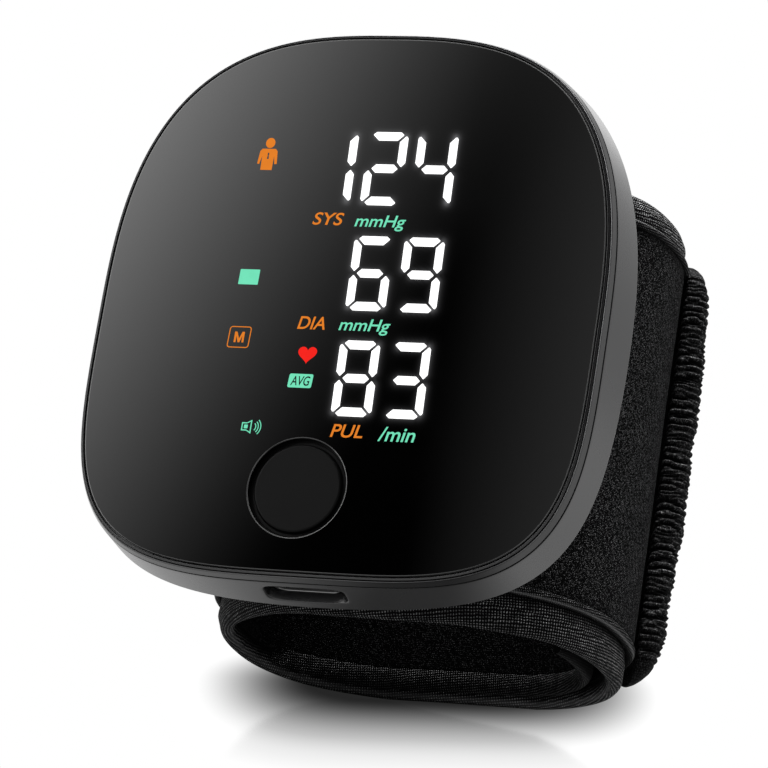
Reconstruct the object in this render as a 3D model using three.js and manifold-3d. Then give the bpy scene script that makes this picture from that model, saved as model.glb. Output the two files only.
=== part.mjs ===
// A wrist blood pressure monitor: a slim housing with a glass front, worn on a padded cuff.
// Millimetres. +X is right and +Y is up on the display, and +Z comes out of the glass.
// The monitor lies on the back of its closed cuff. The origin is on the table, under its middle.

import * as THREE from 'three';
import { mergeVertices } from 'three/addons/utils/BufferGeometryUtils.js';
import Module from 'manifold-3d';

const wasm = await Module();
wasm.setup();

// Housing outline, seen from the front: two half superellipses that meet where it is widest.
const housingWidth = 70;
const outlineTop = 40.4;
const outlineBottom = 35;
const topRoundness = 2.8;
const bottomRoundness = 3.8;
const outlineSteps = 64;
const cornerShare = 0.09;

// How many sides stand for a circle, from the button down to the thinnest bore.
const buttonSides = 40;
const roundSides = 28;
const middleSides = 20;
const smallSides = 12;
const boreSides = 8;
const cornerSides = 5;
const fullTurn = 360;

// Clearances.
const seatGap = 0.3;
const sideGap = 0.2;
const filmGap = 0.04;
const layerGap = 0.2;
const runGap = 0.1;
const overrun = 1;

// Front glass and the gasket that holds it. Depths count back from the face of the glass.
const glassInset = 1.1;
const glassThickness = 0.7;
const glassBevel = 0.1;
const gasketThickness = 0.2;
const gasketWidth = 2;

// Front frame: a lip round the glass, a bevel, a narrow side, a skirt and a deck with posts.
const lipDepth = 0.05;
const lipWidth = 0.2;
const bevelInset = 0.4;
const bevelDepth = 0.65;
const frameSideDepth = 1.55;
const ledgeWidth = 2.9;
const skirtThickness = 1;
const skirtDepth = 4.2;
const deckThickness = 1;
const postRadius = 2.3;
const pinRadius = 1.5;
const pinDepth = 8;

// Rear shell. Its side flares towards a crisp rear edge, more on the sides than at the corners,
// then the back curves in.
const seamGap = 0.25;
const sideWall = 1.6;
const rearEdgeDepth = 7.3;
const flare = 1;
const sideSwell = 0.45;
const backInset = 8.5;
const floorThickness = 1.3;
const backCurveShares = [[0.12, 0.3], [0.35, 0.62], [0.65, 0.86], [1, 1]];
const bossRadius = 2.7;
const topScrewInset = 18;
const topScrewDrop = 10.7;
const lowScrewInset = 14;
const lowScrewRise = 15.7;

// Housing screws.
const screwHeadRadius = 1.7;
const screwHeadHeight = 1;
const screwRadius = 0.8;
const screwLength = 6.5;
const screwSlotWidth = 0.5;
const counterboreDepth = 1.5;

// Start button.
const buttonX = -2.7;
const buttonRise = 12.2;
const buttonHoleRadius = 6.63;
const buttonRadius = 6.2;
const buttonRim = 0.5;
const buttonRecess = 0.3;
const buttonTravel = 0.5;
const flangeRadius = 7.3;
const flangeThickness = 0.6;
const flangeDrop = 0.35;
const stemRadius = 1.6;
const stemLength = 0.8;

// Push switch on the board under the button.
const switchWidth = 5;
const plungerRadius = 1.1;
const plungerLength = 0.7;

// Main board and the display module on it.
const boardDrop = 2;
const boardInset = 5;
const boardThickness = 1;
const boardToPump = 4.7;
const displayWidth = 31.6;
const displayLength = 43.8;
const displayInset = 0.2;
const displayDrop = 13.3;
const chipWidth = 7;
const chipHeight = 1;
const sensorX = 4;
const sensorY = -13;
const sensorWidth = 5;
const sensorHeight = 2;
const sensorPortRadius = 0.8;

// Charging slot in the bottom side, and its socket, set half into the board.
const socketX = -0.85;
const slotWidth = 11;
const slotHeight = 3.3;
const slotRound = 1;
const socketWidth = 8.94;
const socketHeight = 3.16;
const socketLength = 7.4;
const socketMouth = 1.65;
const socketMetal = 0.3;
const tongueWidth = 6.6;
const tongueThickness = 0.7;
const tongueLength = 4.4;
const tongueRoot = 1.4;

// Battery and beeper, on the floor of the shell.
const bayDepth = 7.5;
const batteryInset = 19.5;
const batteryY = 0.5;
const batteryWidth = 17;
const batteryLength = 30;
const batteryThickness = 5.2;
const foamThickness = 0.6;
const speakerX = -1.5;
const speakerDrop = 15.2;
const speakerRadius = 6.5;
const speakerHeight = 2.8;
const speakerVentRadius = 1.5;
const grilleHoleRadius = 0.6;
const grilleRadius = 2.4;
const grilleHoles = 6;

// Air pump, lying along Y on the right.
const pumpInset = 11.6;
const pumpY = -0.85;
const pumpRadius = 4.5;
const motorLength = 17.7;
const motorWall = 0.6;
const motorEnd = 1;
const pumpHeadLength = 9.5;
const shaftRadius = 0.75;
const shaftReach = 3.5;
const armatureRadius = 3.4;
const armatureLength = 9;
const armatureSlotWidth = 1.2;
const commutatorRadius = 1.7;
const commutatorLength = 2.6;
const nippleRadius = 0.85;
const nippleBore = 0.5;
const nippleLength = 2;

// Air manifold under the pump head, and the release valve.
const manifoldWidth = 8;
const manifoldLength = 6;
const manifoldHeight = 5;
const manifoldBore = 1.2;
const valveToPort = 8.9;
const valveRise = 13.7;
const valveRadius = 2.9;
const valveLength = 11;
const valveBore = 0.95;
const valveBoreDepth = 5.4;
const valvePlungerRadius = 0.85;
const valvePlungerLength = 5.8;
const valveStroke = 0.8;
const valveTipRadius = 1.4;
const valveTipHeight = 0.6;
const valvePortShift = 1.5;

// Hoses and the nozzle that leads through the back into the cuff.
const hoseRadius = 1.35;
const hoseBore = 1;
const hoseGrip = 1.4;
const hoseRise = 3;
const hoseSteps = 14;
const hoseSides = 8;
const nozzleX = 10;
const nozzleY = -6;
const nozzleRadius = 2;
const nozzleFlangeRadius = 3.4;
const nozzleFlangeThickness = 0.9;
const nozzleBarbLength = 1.6;
const sealThickness = 0.85;
const nozzleHoleGap = 0.4;

// Plate that clamps the cuff to the back of the housing.
const plateInset = 18;
const plateLength = 42;
const plateThickness = 1.5;
const plateCorner = 6;
const plateY = -6;
const pegRadius = 1.5;
const pegInset = 7;
const pegY = 16;
const pegReach = 0.8;

// Cuff ring: a superellipse across the wrist, flattened on the table and under the housing.
const ringX = 4.7;
const ringWidth = 55;
const ringDepth = 39.4;
const ringRoundness = 2.4;
const tableFlat = 1;
const housingFlat = 0.9;
const ringSteps = 44;
const wrapTopY = 21.2;
const wrapLength = 55.3;
const cuffOverhangTop = 3.1;
const cuffOverhangBottom = 4.3;
const lowerEndSlantLength = 2;
const wrapThickness = 1;
const coreThickness = 0.6;
const bladderThickness = 0.6;
const liningThickness = 0.8;
const pipingRadius = 0.45;
const pipingSides = 6;
const bindingThickness = 2.7;
const bindingTuck = 0.9;
const tailEdgeLength = 4;
const bindingSides = 10;
const bindingRoundness = 2.8;

// The core and the bladder go part of the way round, counted in the ring's own steps.
const coreStart = -6;
const coreEnd = 25;
const bladderStart = -4;
const bladderEnd = 20;

// The cuff's inner tail: a second layer that leaves the lining towards its free end.
const tailStart = 24;
const tailEnd = 46;
const tailThickness = 1.7;
const tailLift = 3;
const tailRecess = 2;

// Gathered strap end and its hook patch, on the right of the cuff, towards the table.
const strapStartDegrees = -36;
const strapEndDegrees = -15.5;
const strapThickness = 3.2;
const strapTopDrop = 0.6;
const strapOverhang = 2.3;
const strapPlainEnd = 5;
const strapRibs = 46;
const strapSides = 8;
const strapEndShares = [[0, 0.55], [0.12, 0.8], [0.35, 0.95], [0.8, 1]];
const strapRoundness = 2.6;
const ribDepth = 0.35;
const hookThickness = 0.5;
const hookMargin = 2.5;
const hookMarginDegrees = 2.5;
const hookSteps = 6;

// Places worked out from the sizes above.
const widestY = (outlineBottom - outlineTop) / 2;
const housingTop = widestY + outlineTop;
const housingLow = widestY - outlineBottom;
const topScrewX = housingWidth / 2 - topScrewInset;
const lowScrewX = housingWidth / 2 - lowScrewInset;
const screwPlaces = [
  [-topScrewX, housingTop - topScrewDrop],
  [topScrewX, housingTop - topScrewDrop],
  [-lowScrewX, housingLow + lowScrewRise],
  [lowScrewX, housingLow + lowScrewRise],
];
const buttonY = housingLow + buttonRise;
const plateWidth = housingWidth - 2 * plateInset;
const pegX = plateWidth / 2 - pegInset;
const pumpX = housingWidth / 2 - pumpInset;
const boardRightEdge = pumpX - pumpRadius - boardToPump;
const displayX = boardRightEdge - displayInset - displayWidth / 2;
const displayY = housingTop - displayDrop - displayLength / 2;
const batteryX = batteryInset - housingWidth / 2;
const speakerY = housingTop - speakerDrop;
const deckTop = glassThickness + filmGap + gasketThickness + filmGap;
const deckBottom = deckTop + deckThickness;
const boardTop = deckBottom + boardDrop;
const boardBottom = boardTop + boardThickness;
const socketDepth = (boardTop + boardBottom) / 2;
const socketEnd = housingLow - flare - sideSwell + socketMouth;
const floorDepth = boardBottom + bayDepth;
const backDepth = floorDepth + floorThickness;
const plateTop = backDepth + seatGap;
const wrapDepth = plateTop + plateThickness + seatGap;
const faceHeight = ringDepth + wrapDepth;
const seamDepth = frameSideDepth + seamGap;
const shellRim = faceHeight - seamDepth;
const lipOffset = -(glassInset - seatGap);
const skirtOffset = -(sideWall + sideGap);
const ledgeOffset = lipOffset - ledgeWidth;
const flangeTop = glassThickness + flangeDrop;
const flangeBottom = flangeTop + flangeThickness;
const stemBottom = flangeBottom + stemLength;
const switchTop = stemBottom + buttonTravel + filmGap;
const switchHeight = boardTop - filmGap - switchTop;
const plungerTop = stemBottom + runGap;
const pumpDepth = floorDepth - seatGap - pumpRadius;
const headY = pumpY - seatGap;
const nippleY = headY - pumpHeadLength;
const manifoldY = nippleY - nippleLength - manifoldLength / 2;
const manifoldDepth = floorDepth - seatGap - manifoldBore / 2 - manifoldHeight / 2;
const portX = pumpX - manifoldWidth / 2;
const valveX = portX - valveToPort;
const valveY = housingLow + valveRise;
const valveDepth = floorDepth - seatGap - valveRadius;
const coreOffset = -(wrapThickness + layerGap);
const bladderOffset = coreOffset - coreThickness - layerGap;
const liningOffset = bladderOffset - bladderThickness - layerGap;
const tailOffset = coreOffset - bindingThickness - seatGap;
const hookOffset = layerGap;
const strapOffset = hookOffset + hookThickness + layerGap;
const strapTopY = wrapTopY - strapTopDrop;
const strapLowY = wrapTopY - wrapLength - strapOverhang;
const strapLength = strapTopY - strapLowY;

const heightAt = (depth) => faceHeight - depth;

// Solid tools.

function facingOut(geometry) {
  const place = geometry.attributes.position;
  const order = geometry.index.array;
  const a = new THREE.Vector3();
  const b = new THREE.Vector3();
  const c = new THREE.Vector3();
  let volume = 0;
  for (let i = 0; i < order.length; i += 3) {
    a.fromBufferAttribute(place, order[i]);
    b.fromBufferAttribute(place, order[i + 1]);
    c.fromBufferAttribute(place, order[i + 2]);
    volume += a.dot(b.cross(c));
  }
  if (volume < 0) {
    for (let i = 0; i < order.length; i += 3) {
      const kept = order[i];
      order[i] = order[i + 1];
      order[i + 1] = kept;
    }
  }
  return geometry;
}

// Joins loops of equally many points into one closed body. The loops close on themselves,
// or the first and last loop are closed by a fan.
function bodyFromLoops(loops, closed) {
  const count = loops[0].length;
  const places = loops.flat();
  const order = [];
  const spans = closed ? loops.length : loops.length - 1;
  for (let j = 0; j < spans; j += 1) {
    const near = j * count;
    const far = ((j + 1) % loops.length) * count;
    for (let i = 0; i < count; i += 1) {
      const next = (i + 1) % count;
      order.push(near + i, near + next, far + next, near + i, far + next, far + i);
    }
  }
  if (!closed) {
    const ends = [[loops[0], 0, true], [loops.at(-1), places.length - count, false]];
    for (const [loop, start, flip] of ends) {
      const middle = new THREE.Vector3();
      loop.forEach((point) => middle.addScaledVector(point, 1 / count));
      places.push(middle);
      for (let i = 0; i < count; i += 1) {
        const pair = [start + i, start + (i + 1) % count];
        order.push(places.length - 1, ...(flip ? pair.reverse() : pair));
      }
    }
  }
  const geometry = new THREE.BufferGeometry();
  const numbers = places.flatMap((point) => [point.x, point.y, point.z]);
  geometry.setAttribute('position', new THREE.Float32BufferAttribute(numbers, 3));
  geometry.setIndex(order);
  return facingOut(geometry);
}

function toSolid(geometry) {
  const bare = geometry.clone();
  bare.deleteAttribute('normal');
  bare.deleteAttribute('uv');
  const merged = mergeVertices(bare);
  const triVerts = new Uint32Array(merged.index.array);
  const vertProperties = merged.attributes.position.array;
  return new wasm.Manifold(new wasm.Mesh({ numProp: 3, vertProperties, triVerts }));
}

function toGeometry(solid) {
  const mesh = solid.getMesh();
  const geometry = new THREE.BufferGeometry();
  geometry.setAttribute('position', new THREE.BufferAttribute(new Float32Array(mesh.vertProperties), 3));
  geometry.setIndex(new THREE.BufferAttribute(new Uint32Array(mesh.triVerts), 1));
  return geometry;
}

function cut(base, ...tools) {
  return toGeometry(tools.reduce((solid, tool) => solid.subtract(toSolid(tool)), toSolid(base)));
}

function join(...pieces) {
  return toGeometry(pieces.slice(1).reduce((solid, piece) => solid.add(toSolid(piece)), toSolid(pieces[0])));
}

function block(width, length, height, x, y, z) {
  return new THREE.BoxGeometry(width, length, height).translate(x, y, z);
}

// A rod between two heights, standing on Z.
function upright(radius, low, high, x, y, sides = middleSides) {
  const geometry = new THREE.CylinderGeometry(radius, radius, high - low, sides).rotateX(Math.PI / 2);
  return geometry.translate(x, y, (low + high) / 2);
}

// A rod along Y or X between two places.
function alongY(radius, low, high, x, z, sides = middleSides) {
  return new THREE.CylinderGeometry(radius, radius, high - low, sides).translate(x, (low + high) / 2, z);
}

function alongX(radius, low, high, y, z, sides = middleSides) {
  const geometry = new THREE.CylinderGeometry(radius, radius, high - low, sides).rotateZ(Math.PI / 2);
  return geometry.translate((low + high) / 2, y, z);
}

function roundedShape(width, height, corner) {
  const x = width / 2;
  const y = height / 2;
  const shape = new THREE.Shape();
  shape.moveTo(x, y - corner);
  shape.absarc(x - corner, y - corner, corner, 0, Math.PI / 2);
  shape.absarc(corner - x, y - corner, corner, Math.PI / 2, Math.PI);
  shape.absarc(corner - x, corner - y, corner, Math.PI, 3 * Math.PI / 2);
  shape.absarc(x - corner, corner - y, corner, 3 * Math.PI / 2, Math.PI * 2);
  return shape;
}

// A rounded bar that lies along Y, from its low end.
function roundedBarAlongY(width, height, corner, low, high, x, z) {
  const settings = { depth: high - low, bevelEnabled: false, curveSegments: cornerSides };
  const geometry = new THREE.ExtrudeGeometry(roundedShape(width, height, corner), settings);
  return geometry.rotateX(-Math.PI / 2).translate(x, low, z);
}

// Housing geometry.

function housingOutline(offset, swell = 0) {
  const points = [];
  for (let i = 0; i < outlineSteps; i += 1) {
    const turn = (i / outlineSteps) * Math.PI * 2;
    const angle = turn + cornerShare * Math.sin(4 * turn);
    const across = Math.cos(angle);
    const up = Math.sin(angle);
    const power = up >= 0 ? topRoundness : bottomRoundness;
    const rise = up >= 0 ? outlineTop : outlineBottom;
    const side = housingWidth / 2;
    const reach = (Math.abs(across) ** power + Math.abs(up) ** power) ** (-1 / power);
    const x = side * reach * across;
    const y = rise * reach * up;
    const slopeX = Math.sign(x) * Math.abs(x / side) ** (power - 1) / side;
    const slopeY = Math.sign(y) * Math.abs(y / rise) ** (power - 1) / rise;
    const slope = Math.hypot(slopeX, slopeY);
    const out = offset + swell * Math.cos(4 * angle);
    points.push([x + out * slopeX / slope, widestY + y + out * slopeY / slope]);
  }
  return points;
}

function housingLoop([offset, depth, swell]) {
  return housingOutline(offset, swell).map(([x, y]) => new THREE.Vector3(x, y, heightAt(depth)));
}

function housingSlab(offset, top, bottom) {
  return bodyFromLoops([[offset, top], [offset, bottom]].map(housingLoop), false);
}

// Cuff geometry. The ring's section lies in X and Z, and its axis is along Y.

const ringRise = (ringDepth + tableFlat + housingFlat) / 2;

function ringPoint(degrees, offset) {
  const angle = THREE.MathUtils.degToRad(degrees);
  const half = ringWidth / 2;
  const across = Math.cos(angle);
  const up = Math.sin(angle);
  const sum = Math.abs(across / half) ** ringRoundness + Math.abs(up / ringRise) ** ringRoundness;
  const reach = sum ** (-1 / ringRoundness);
  const x = reach * across;
  const z = reach * up;
  const slopeX = Math.sign(x) * Math.abs(x / half) ** (ringRoundness - 1) / half;
  const slopeZ = Math.sign(z) * Math.abs(z / ringRise) ** (ringRoundness - 1) / ringRise;
  const slope = Math.hypot(slopeX, slopeZ);
  const height = ringRise - tableFlat + z + offset * slopeZ / slope;
  return [ringX + x + offset * slopeX / slope, Math.min(Math.max(height, -offset), ringDepth + offset)];
}

// The lower end of the cuff is cut at a slant: the back reaches lower than the front.
const lowerEndAt = (z) => wrapTopY - wrapLength + lowerEndSlantLength * z / ringDepth;

function cuffPoint(degrees, offset, end, inset) {
  const [x, z] = ringPoint(degrees, offset);
  const y = end === 'top' ? wrapTopY - inset : lowerEndAt(z) + inset;
  return new THREE.Vector3(x, y, z);
}

// A full ring from its profile: a list of offset, end and inset from that end of the wrap.
function cuffRing(profile) {
  const loops = profile.map(([offset, end, inset]) => {
    const loop = [];
    for (let i = 0; i < ringSteps; i += 1) {
      loop.push(cuffPoint((i / ringSteps) * fullTurn, offset, end, inset));
    }
    return loop;
  });
  return bodyFromLoops(loops, true);
}

function cuffLayer(outer, thickness, topInset, bottomInset) {
  const inner = outer - thickness;
  return [[outer, 'bottom', bottomInset], [outer, 'top', topInset], [inner, 'top', topInset],
    [inner, 'bottom', bottomInset]];
}

// Part of a ring, from one of its steps to another.
function cuffArc(start, end, profileAt) {
  const loops = [];
  for (let i = start; i <= end; i += 1) {
    const profile = profileAt((i - start) / (end - start));
    const degrees = (i / ringSteps) * fullTurn;
    loops.push(profile.map(([offset, side, inset]) => cuffPoint(degrees, offset, side, inset)));
  }
  return bodyFromLoops(loops, false);
}

// A rolled edge: a rounded section that runs round the end of the cuff.
function rolledEdge(outer, thickness, end, inset, length) {
  const profile = [];
  for (let i = 0; i < bindingSides; i += 1) {
    const angle = (i / bindingSides) * Math.PI * 2;
    const reach = (Math.abs(Math.cos(angle)) ** bindingRoundness
      + Math.abs(Math.sin(angle)) ** bindingRoundness) ** (-1 / bindingRoundness);
    const offset = outer - thickness / 2 + thickness / 2 * reach * Math.cos(angle);
    profile.push([offset, end, inset + length / 2 + length / 2 * reach * Math.sin(angle)]);
  }
  return profile;
}

// Housing parts.

function frontGlass() {
  const glass = bodyFromLoops([
    [-glassInset, glassThickness],
    [-glassInset, glassBevel],
    [-glassInset - glassBevel, 0],
  ].map(housingLoop), false);
  const low = heightAt(glassThickness) - overrun;
  return cut(glass, upright(buttonHoleRadius, low, faceHeight + overrun, buttonX, buttonY, buttonSides));
}

function glassGasket() {
  const outer = lipOffset - seatGap;
  const top = glassThickness + filmGap;
  const bottom = deckTop - filmGap;
  return bodyFromLoops([
    [outer, top], [outer, bottom], [outer - gasketWidth, bottom], [outer - gasketWidth, top],
  ].map(housingLoop), true);
}

function displayOpening(gap, top, bottom) {
  const width = displayWidth + 2 * gap;
  const length = displayLength + 2 * gap;
  return block(width, length, bottom - top, displayX, displayY, heightAt((top + bottom) / 2));
}

function frontFrame() {
  const skirtInside = skirtOffset - skirtThickness;
  const rim = bodyFromLoops([
    [lipOffset, lipDepth], [lipOffset + lipWidth, lipDepth], [-bevelInset, bevelDepth], [0, frameSideDepth],
    [skirtOffset, frameSideDepth], [skirtOffset, skirtDepth], [skirtInside, skirtDepth],
    [skirtInside, deckBottom], [ledgeOffset, deckBottom], [ledgeOffset, deckTop], [lipOffset, deckTop],
  ].map(housingLoop), true);
  const deck = housingSlab(skirtInside, deckTop, deckBottom);
  const posts = screwPlaces.flatMap(([x, y]) => [
    upright(postRadius, heightAt(boardTop - filmGap), heightAt(deckTop), x, y, middleSides),
    upright(pinRadius, heightAt(pinDepth), heightAt(deckTop), x, y, middleSides),
  ]);
  const pilots = screwPlaces.map(([x, y]) => {
    const low = heightAt(pinDepth) - overrun;
    return upright(screwRadius + runGap, low, heightAt(boardBottom), x, y, smallSides);
  });
  const buttonWell = upright(flangeRadius + pinRadius / 3, heightAt(deckBottom) - overrun,
    heightAt(deckTop) + filmGap, buttonX, buttonY, buttonSides);
  const skirtY = housingLow - skirtOffset + skirtThickness / 2;
  const socketNotch = block(slotWidth, skirtThickness + 2 * overrun, skirtDepth, socketX, skirtY,
    heightAt(deckBottom + skirtDepth / 2 + runGap));
  const window = displayOpening(seatGap, deckTop - filmGap, deckBottom + overrun);
  return cut(join(rim, deck, ...posts), ...pilots, buttonWell, socketNotch, window);
}

function shellProfile() {
  const outer = backCurveShares.map(([inward, back]) => [
    flare - (flare + backInset) * inward,
    rearEdgeDepth + (backDepth - rearEdgeDepth) * back,
    sideSwell * (1 - inward),
  ]);
  const inner = backCurveShares.map(([inward, back]) => [
    -sideWall - (backInset - sideWall) * inward,
    rearEdgeDepth + (floorDepth - rearEdgeDepth) * back,
  ]);
  return [...outer.reverse(), [flare, rearEdgeDepth, sideSwell], [0, seamDepth], [-sideWall, seamDepth],
    [-sideWall, rearEdgeDepth], ...inner];
}

function rearShell() {
  const cup = bodyFromLoops(shellProfile().map(housingLoop), false);
  const floor = heightAt(floorDepth);
  const back = heightAt(backDepth);
  const bosses = screwPlaces.map(([x, y]) => (
    upright(bossRadius, floor - filmGap, heightAt(boardBottom + filmGap), x, y, middleSides)));
  const bores = screwPlaces.flatMap(([x, y]) => [
    upright(pinRadius + sideGap, heightAt(pinDepth + seatGap), shellRim, x, y, middleSides),
    upright(screwRadius + sideGap, back - overrun, shellRim, x, y, smallSides),
    upright(screwHeadRadius + sideGap, back - overrun, back + counterboreDepth, x, y, middleSides),
  ]);
  const slotY = housingLow - flare - sideSwell;
  const slot = roundedBarAlongY(slotWidth, slotHeight, slotRound, slotY - overrun,
    housingLow + sideWall + overrun, socketX, heightAt(socketDepth));
  const pegHoles = pegPlaces().map(([x, y]) => (
    upright(pegRadius + sideGap, back - overrun, floor + overrun / 2, x, y, smallSides)));
  const nozzleHole = upright(nozzleRadius + sideGap, back - overrun, floor + overrun,
    nozzleX, nozzleY, middleSides);
  const grille = [upright(grilleHoleRadius, back - overrun, floor + overrun, speakerX, speakerY, boreSides)];
  for (let i = 0; i < grilleHoles; i += 1) {
    const angle = (i / grilleHoles) * Math.PI * 2;
    grille.push(upright(grilleHoleRadius, back - overrun, floor + overrun,
      speakerX + grilleRadius * Math.cos(angle), speakerY + grilleRadius * Math.sin(angle), boreSides));
  }
  return cut(join(cup, ...bosses), ...bores, slot, ...pegHoles, nozzleHole, ...grille);
}

function housingScrew() {
  const head = upright(screwHeadRadius, 0, screwHeadHeight, 0, 0, middleSides);
  const shank = upright(screwRadius, screwHeadHeight / 2, screwHeadHeight + screwLength, 0, 0, smallSides);
  const slot = block(2 * screwHeadRadius + overrun, screwSlotWidth, screwHeadHeight, 0, 0, 0);
  return cut(join(head, shank), slot);
}

function pegPlaces() {
  return [[-1, -1], [-1, 1], [1, -1], [1, 1]].map(([i, j]) => [ringX + i * pegX, plateY + j * pegY]);
}

function cuffMountPlate() {
  const settings = { depth: plateThickness, bevelEnabled: false, curveSegments: cornerSides };
  const sheet = new THREE.ExtrudeGeometry(roundedShape(plateWidth, plateLength, plateCorner), settings);
  const bottom = heightAt(plateTop + plateThickness);
  sheet.translate(ringX, plateY, bottom);
  const pegs = pegPlaces().map(([x, y]) => (
    upright(pegRadius, bottom + plateThickness / 2, heightAt(backDepth - pegReach), x, y, smallSides)));
  const hole = upright(nozzleRadius + sideGap, bottom - overrun, bottom + plateThickness + overrun,
    nozzleX, nozzleY, middleSides);
  return cut(join(sheet, ...pegs), hole);
}

// Start button and its switch.

function startButton() {
  const top = buttonRecess;
  const profile = [
    [0, top], [buttonRadius - buttonRim, top], [buttonRadius, top + buttonRim / 2],
    [buttonRadius, flangeTop], [flangeRadius, flangeTop], [flangeRadius, flangeBottom],
    [stemRadius, flangeBottom], [stemRadius, stemBottom], [0, stemBottom],
  ].map(([radius, depth]) => new THREE.Vector2(radius, -depth)).reverse();
  return new THREE.LatheGeometry(profile, buttonSides).rotateX(Math.PI / 2);
}

function switchBase() {
  const body = block(switchWidth, switchWidth, switchHeight, 0, 0, -switchHeight / 2);
  return cut(body, upright(plungerRadius + runGap, -switchHeight - overrun, overrun, 0, 0, middleSides));
}

function switchPlunger() {
  const bottom = plungerTop + plungerLength;
  return upright(plungerRadius, -bottom, -plungerTop, 0, 0, smallSides);
}

// Board, display and socket.

function mainBoard() {
  const board = housingSlab(-boardInset, boardTop, boardBottom);
  const low = heightAt(boardBottom) - overrun;
  const high = heightAt(boardTop) + overrun;
  const right = block(housingWidth, housingWidth + outlineTop, high - low,
    boardRightEdge + housingWidth / 2, 0, (low + high) / 2);
  const holes = screwPlaces.filter(([x]) => x < 0).map(([x, y]) => (
    upright(pinRadius + sideGap, low, high, x, y, middleSides)));
  const notchEnd = socketEnd + socketLength + seatGap;
  const notch = block(socketWidth + 2 * seatGap, 2 * boardInset, high - low, socketX,
    notchEnd - boardInset, (low + high) / 2);
  return cut(board, right, ...holes, notch);
}

function displayModule() {
  const guide = displayOpening(0, glassThickness + runGap, boardTop - runGap);
  return cut(guide, upright(flangeRadius + pinRadius / 2, heightAt(boardTop) - overrun, faceHeight,
    buttonX, buttonY, buttonSides));
}

function socketShell() {
  const outer = roundedBarAlongY(socketWidth, socketHeight, socketHeight / 2 - socketMetal / 2,
    socketEnd, socketEnd + socketLength, socketX, heightAt(socketDepth));
  const innerHeight = socketHeight - 2 * socketMetal;
  const innerCorner = (innerHeight - socketMetal) / 2;
  const inner = roundedBarAlongY(socketWidth - 2 * socketMetal, innerHeight, innerCorner,
    socketEnd - overrun, socketEnd + socketLength - socketMetal, socketX, heightAt(socketDepth));
  return cut(outer, inner);
}

function socketTongue() {
  const rootEnd = socketEnd + socketLength - socketMetal - filmGap;
  const height = socketHeight - 2 * socketMetal - 2 * filmGap;
  const z = heightAt(socketDepth);
  const rootY = rootEnd - tongueRoot / 2;
  const root = block(tongueWidth, tongueRoot, height, socketX, rootY, z);
  const tongue = block(tongueWidth - tongueThickness, tongueLength, tongueThickness, socketX,
    rootY - tongueLength / 2, z);
  return join(root, tongue);
}

function pressureSensor() {
  const top = heightAt(boardBottom + filmGap);
  const body = block(sensorWidth, sensorWidth, sensorHeight, sensorX, sensorY, top - sensorHeight / 2);
  const port = upright(sensorPortRadius, top - sensorHeight - sensorPortRadius, top - sensorHeight / 2,
    sensorX, sensorY, smallSides);
  const bore = upright(sensorPortRadius / 2, top - sensorHeight - 2 * sensorPortRadius,
    top - sensorHeight / 2, sensorX, sensorY, boreSides);
  return cut(join(body, port), bore);
}

function speaker() {
  const base = heightAt(floorDepth - seatGap);
  const can = upright(speakerRadius, base, base + speakerHeight, speakerX, speakerY, roundSides);
  const vent = upright(speakerVentRadius, base - overrun, base + speakerHeight / 2,
    speakerX, speakerY, smallSides);
  return cut(can, vent);
}

// Air system.

function pumpMotorCase() {
  const z = heightAt(pumpDepth);
  const can = alongY(pumpRadius, pumpY, pumpY + motorLength, pumpX, z, roundSides);
  const bore = alongY(pumpRadius - motorWall, pumpY - overrun, pumpY + motorLength - motorEnd,
    pumpX, z, roundSides);
  const bearing = alongY(shaftRadius + runGap, pumpY, pumpY + motorLength + overrun, pumpX, z, middleSides);
  return cut(can, bore, bearing);
}

// The rotor is made round its own axis, along Y, and put in the motor case.
function pumpRotor() {
  const armatureLow = motorEnd + runGap;
  const armatureHigh = armatureLow + armatureLength;
  const commutatorHigh = armatureHigh + commutatorLength;
  const armature = alongY(armatureRadius, armatureLow, armatureHigh, 0, 0, middleSides);
  const slots = [0, 1, 2].map((i) => (
    block(armatureSlotWidth, armatureLength + overrun, armatureRadius, 0,
      (armatureLow + armatureHigh) / 2, armatureRadius).rotateY(i * Math.PI * 2 / 3)));
  const commutator = alongY(commutatorRadius, armatureHigh - runGap, commutatorHigh, 0, 0, smallSides);
  const shaft = alongY(shaftRadius, -seatGap - shaftReach, motorLength + seatGap, 0, 0, smallSides);
  return join(cut(armature, ...slots), commutator, shaft);
}

function pumpHead() {
  const z = heightAt(pumpDepth);
  const body = alongY(pumpRadius, headY - pumpHeadLength, headY, pumpX, z, roundSides);
  const nozzle = alongY(nippleRadius, nippleY - nippleLength, nippleY + overrun, pumpX, z, smallSides);
  const bearingEnd = headY - shaftReach - seatGap;
  const bearing = alongY(shaftRadius + runGap, bearingEnd, headY + overrun, pumpX, z, middleSides);
  const outletEnd = nippleY - nippleLength - overrun;
  const outlet = alongY(nippleBore, outletEnd, headY - shaftReach, pumpX, z, boreSides);
  return cut(join(body, nozzle), bearing, outlet);
}

const hosePortY = [manifoldY + manifoldLength / 4, manifoldY - manifoldLength / 4];

function airManifold() {
  const z = heightAt(pumpDepth);
  const body = block(manifoldWidth, manifoldLength - seatGap, manifoldHeight, pumpX, manifoldY,
    heightAt(manifoldDepth));
  const nipples = hosePortY.map((y) => (
    alongX(nippleRadius, portX - nippleLength, portX + overrun, y, z, smallSides)));
  const inlet = alongY(nippleRadius + runGap, manifoldY, manifoldY + manifoldLength, pumpX, z, smallSides);
  const ports = hosePortY.map((y) => (
    alongX(nippleBore, portX - nippleLength - overrun, pumpX, y, z, boreSides)));
  const cross = alongY(nippleBore, hosePortY[1], hosePortY[0], pumpX - nippleRadius, z, boreSides);
  return cut(join(body, ...nipples), inlet, ...ports, cross);
}

const valvePortX = valveX + valvePortShift;
const valvePortEnd = valveY + valveRadius + nippleLength - seatGap;

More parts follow.
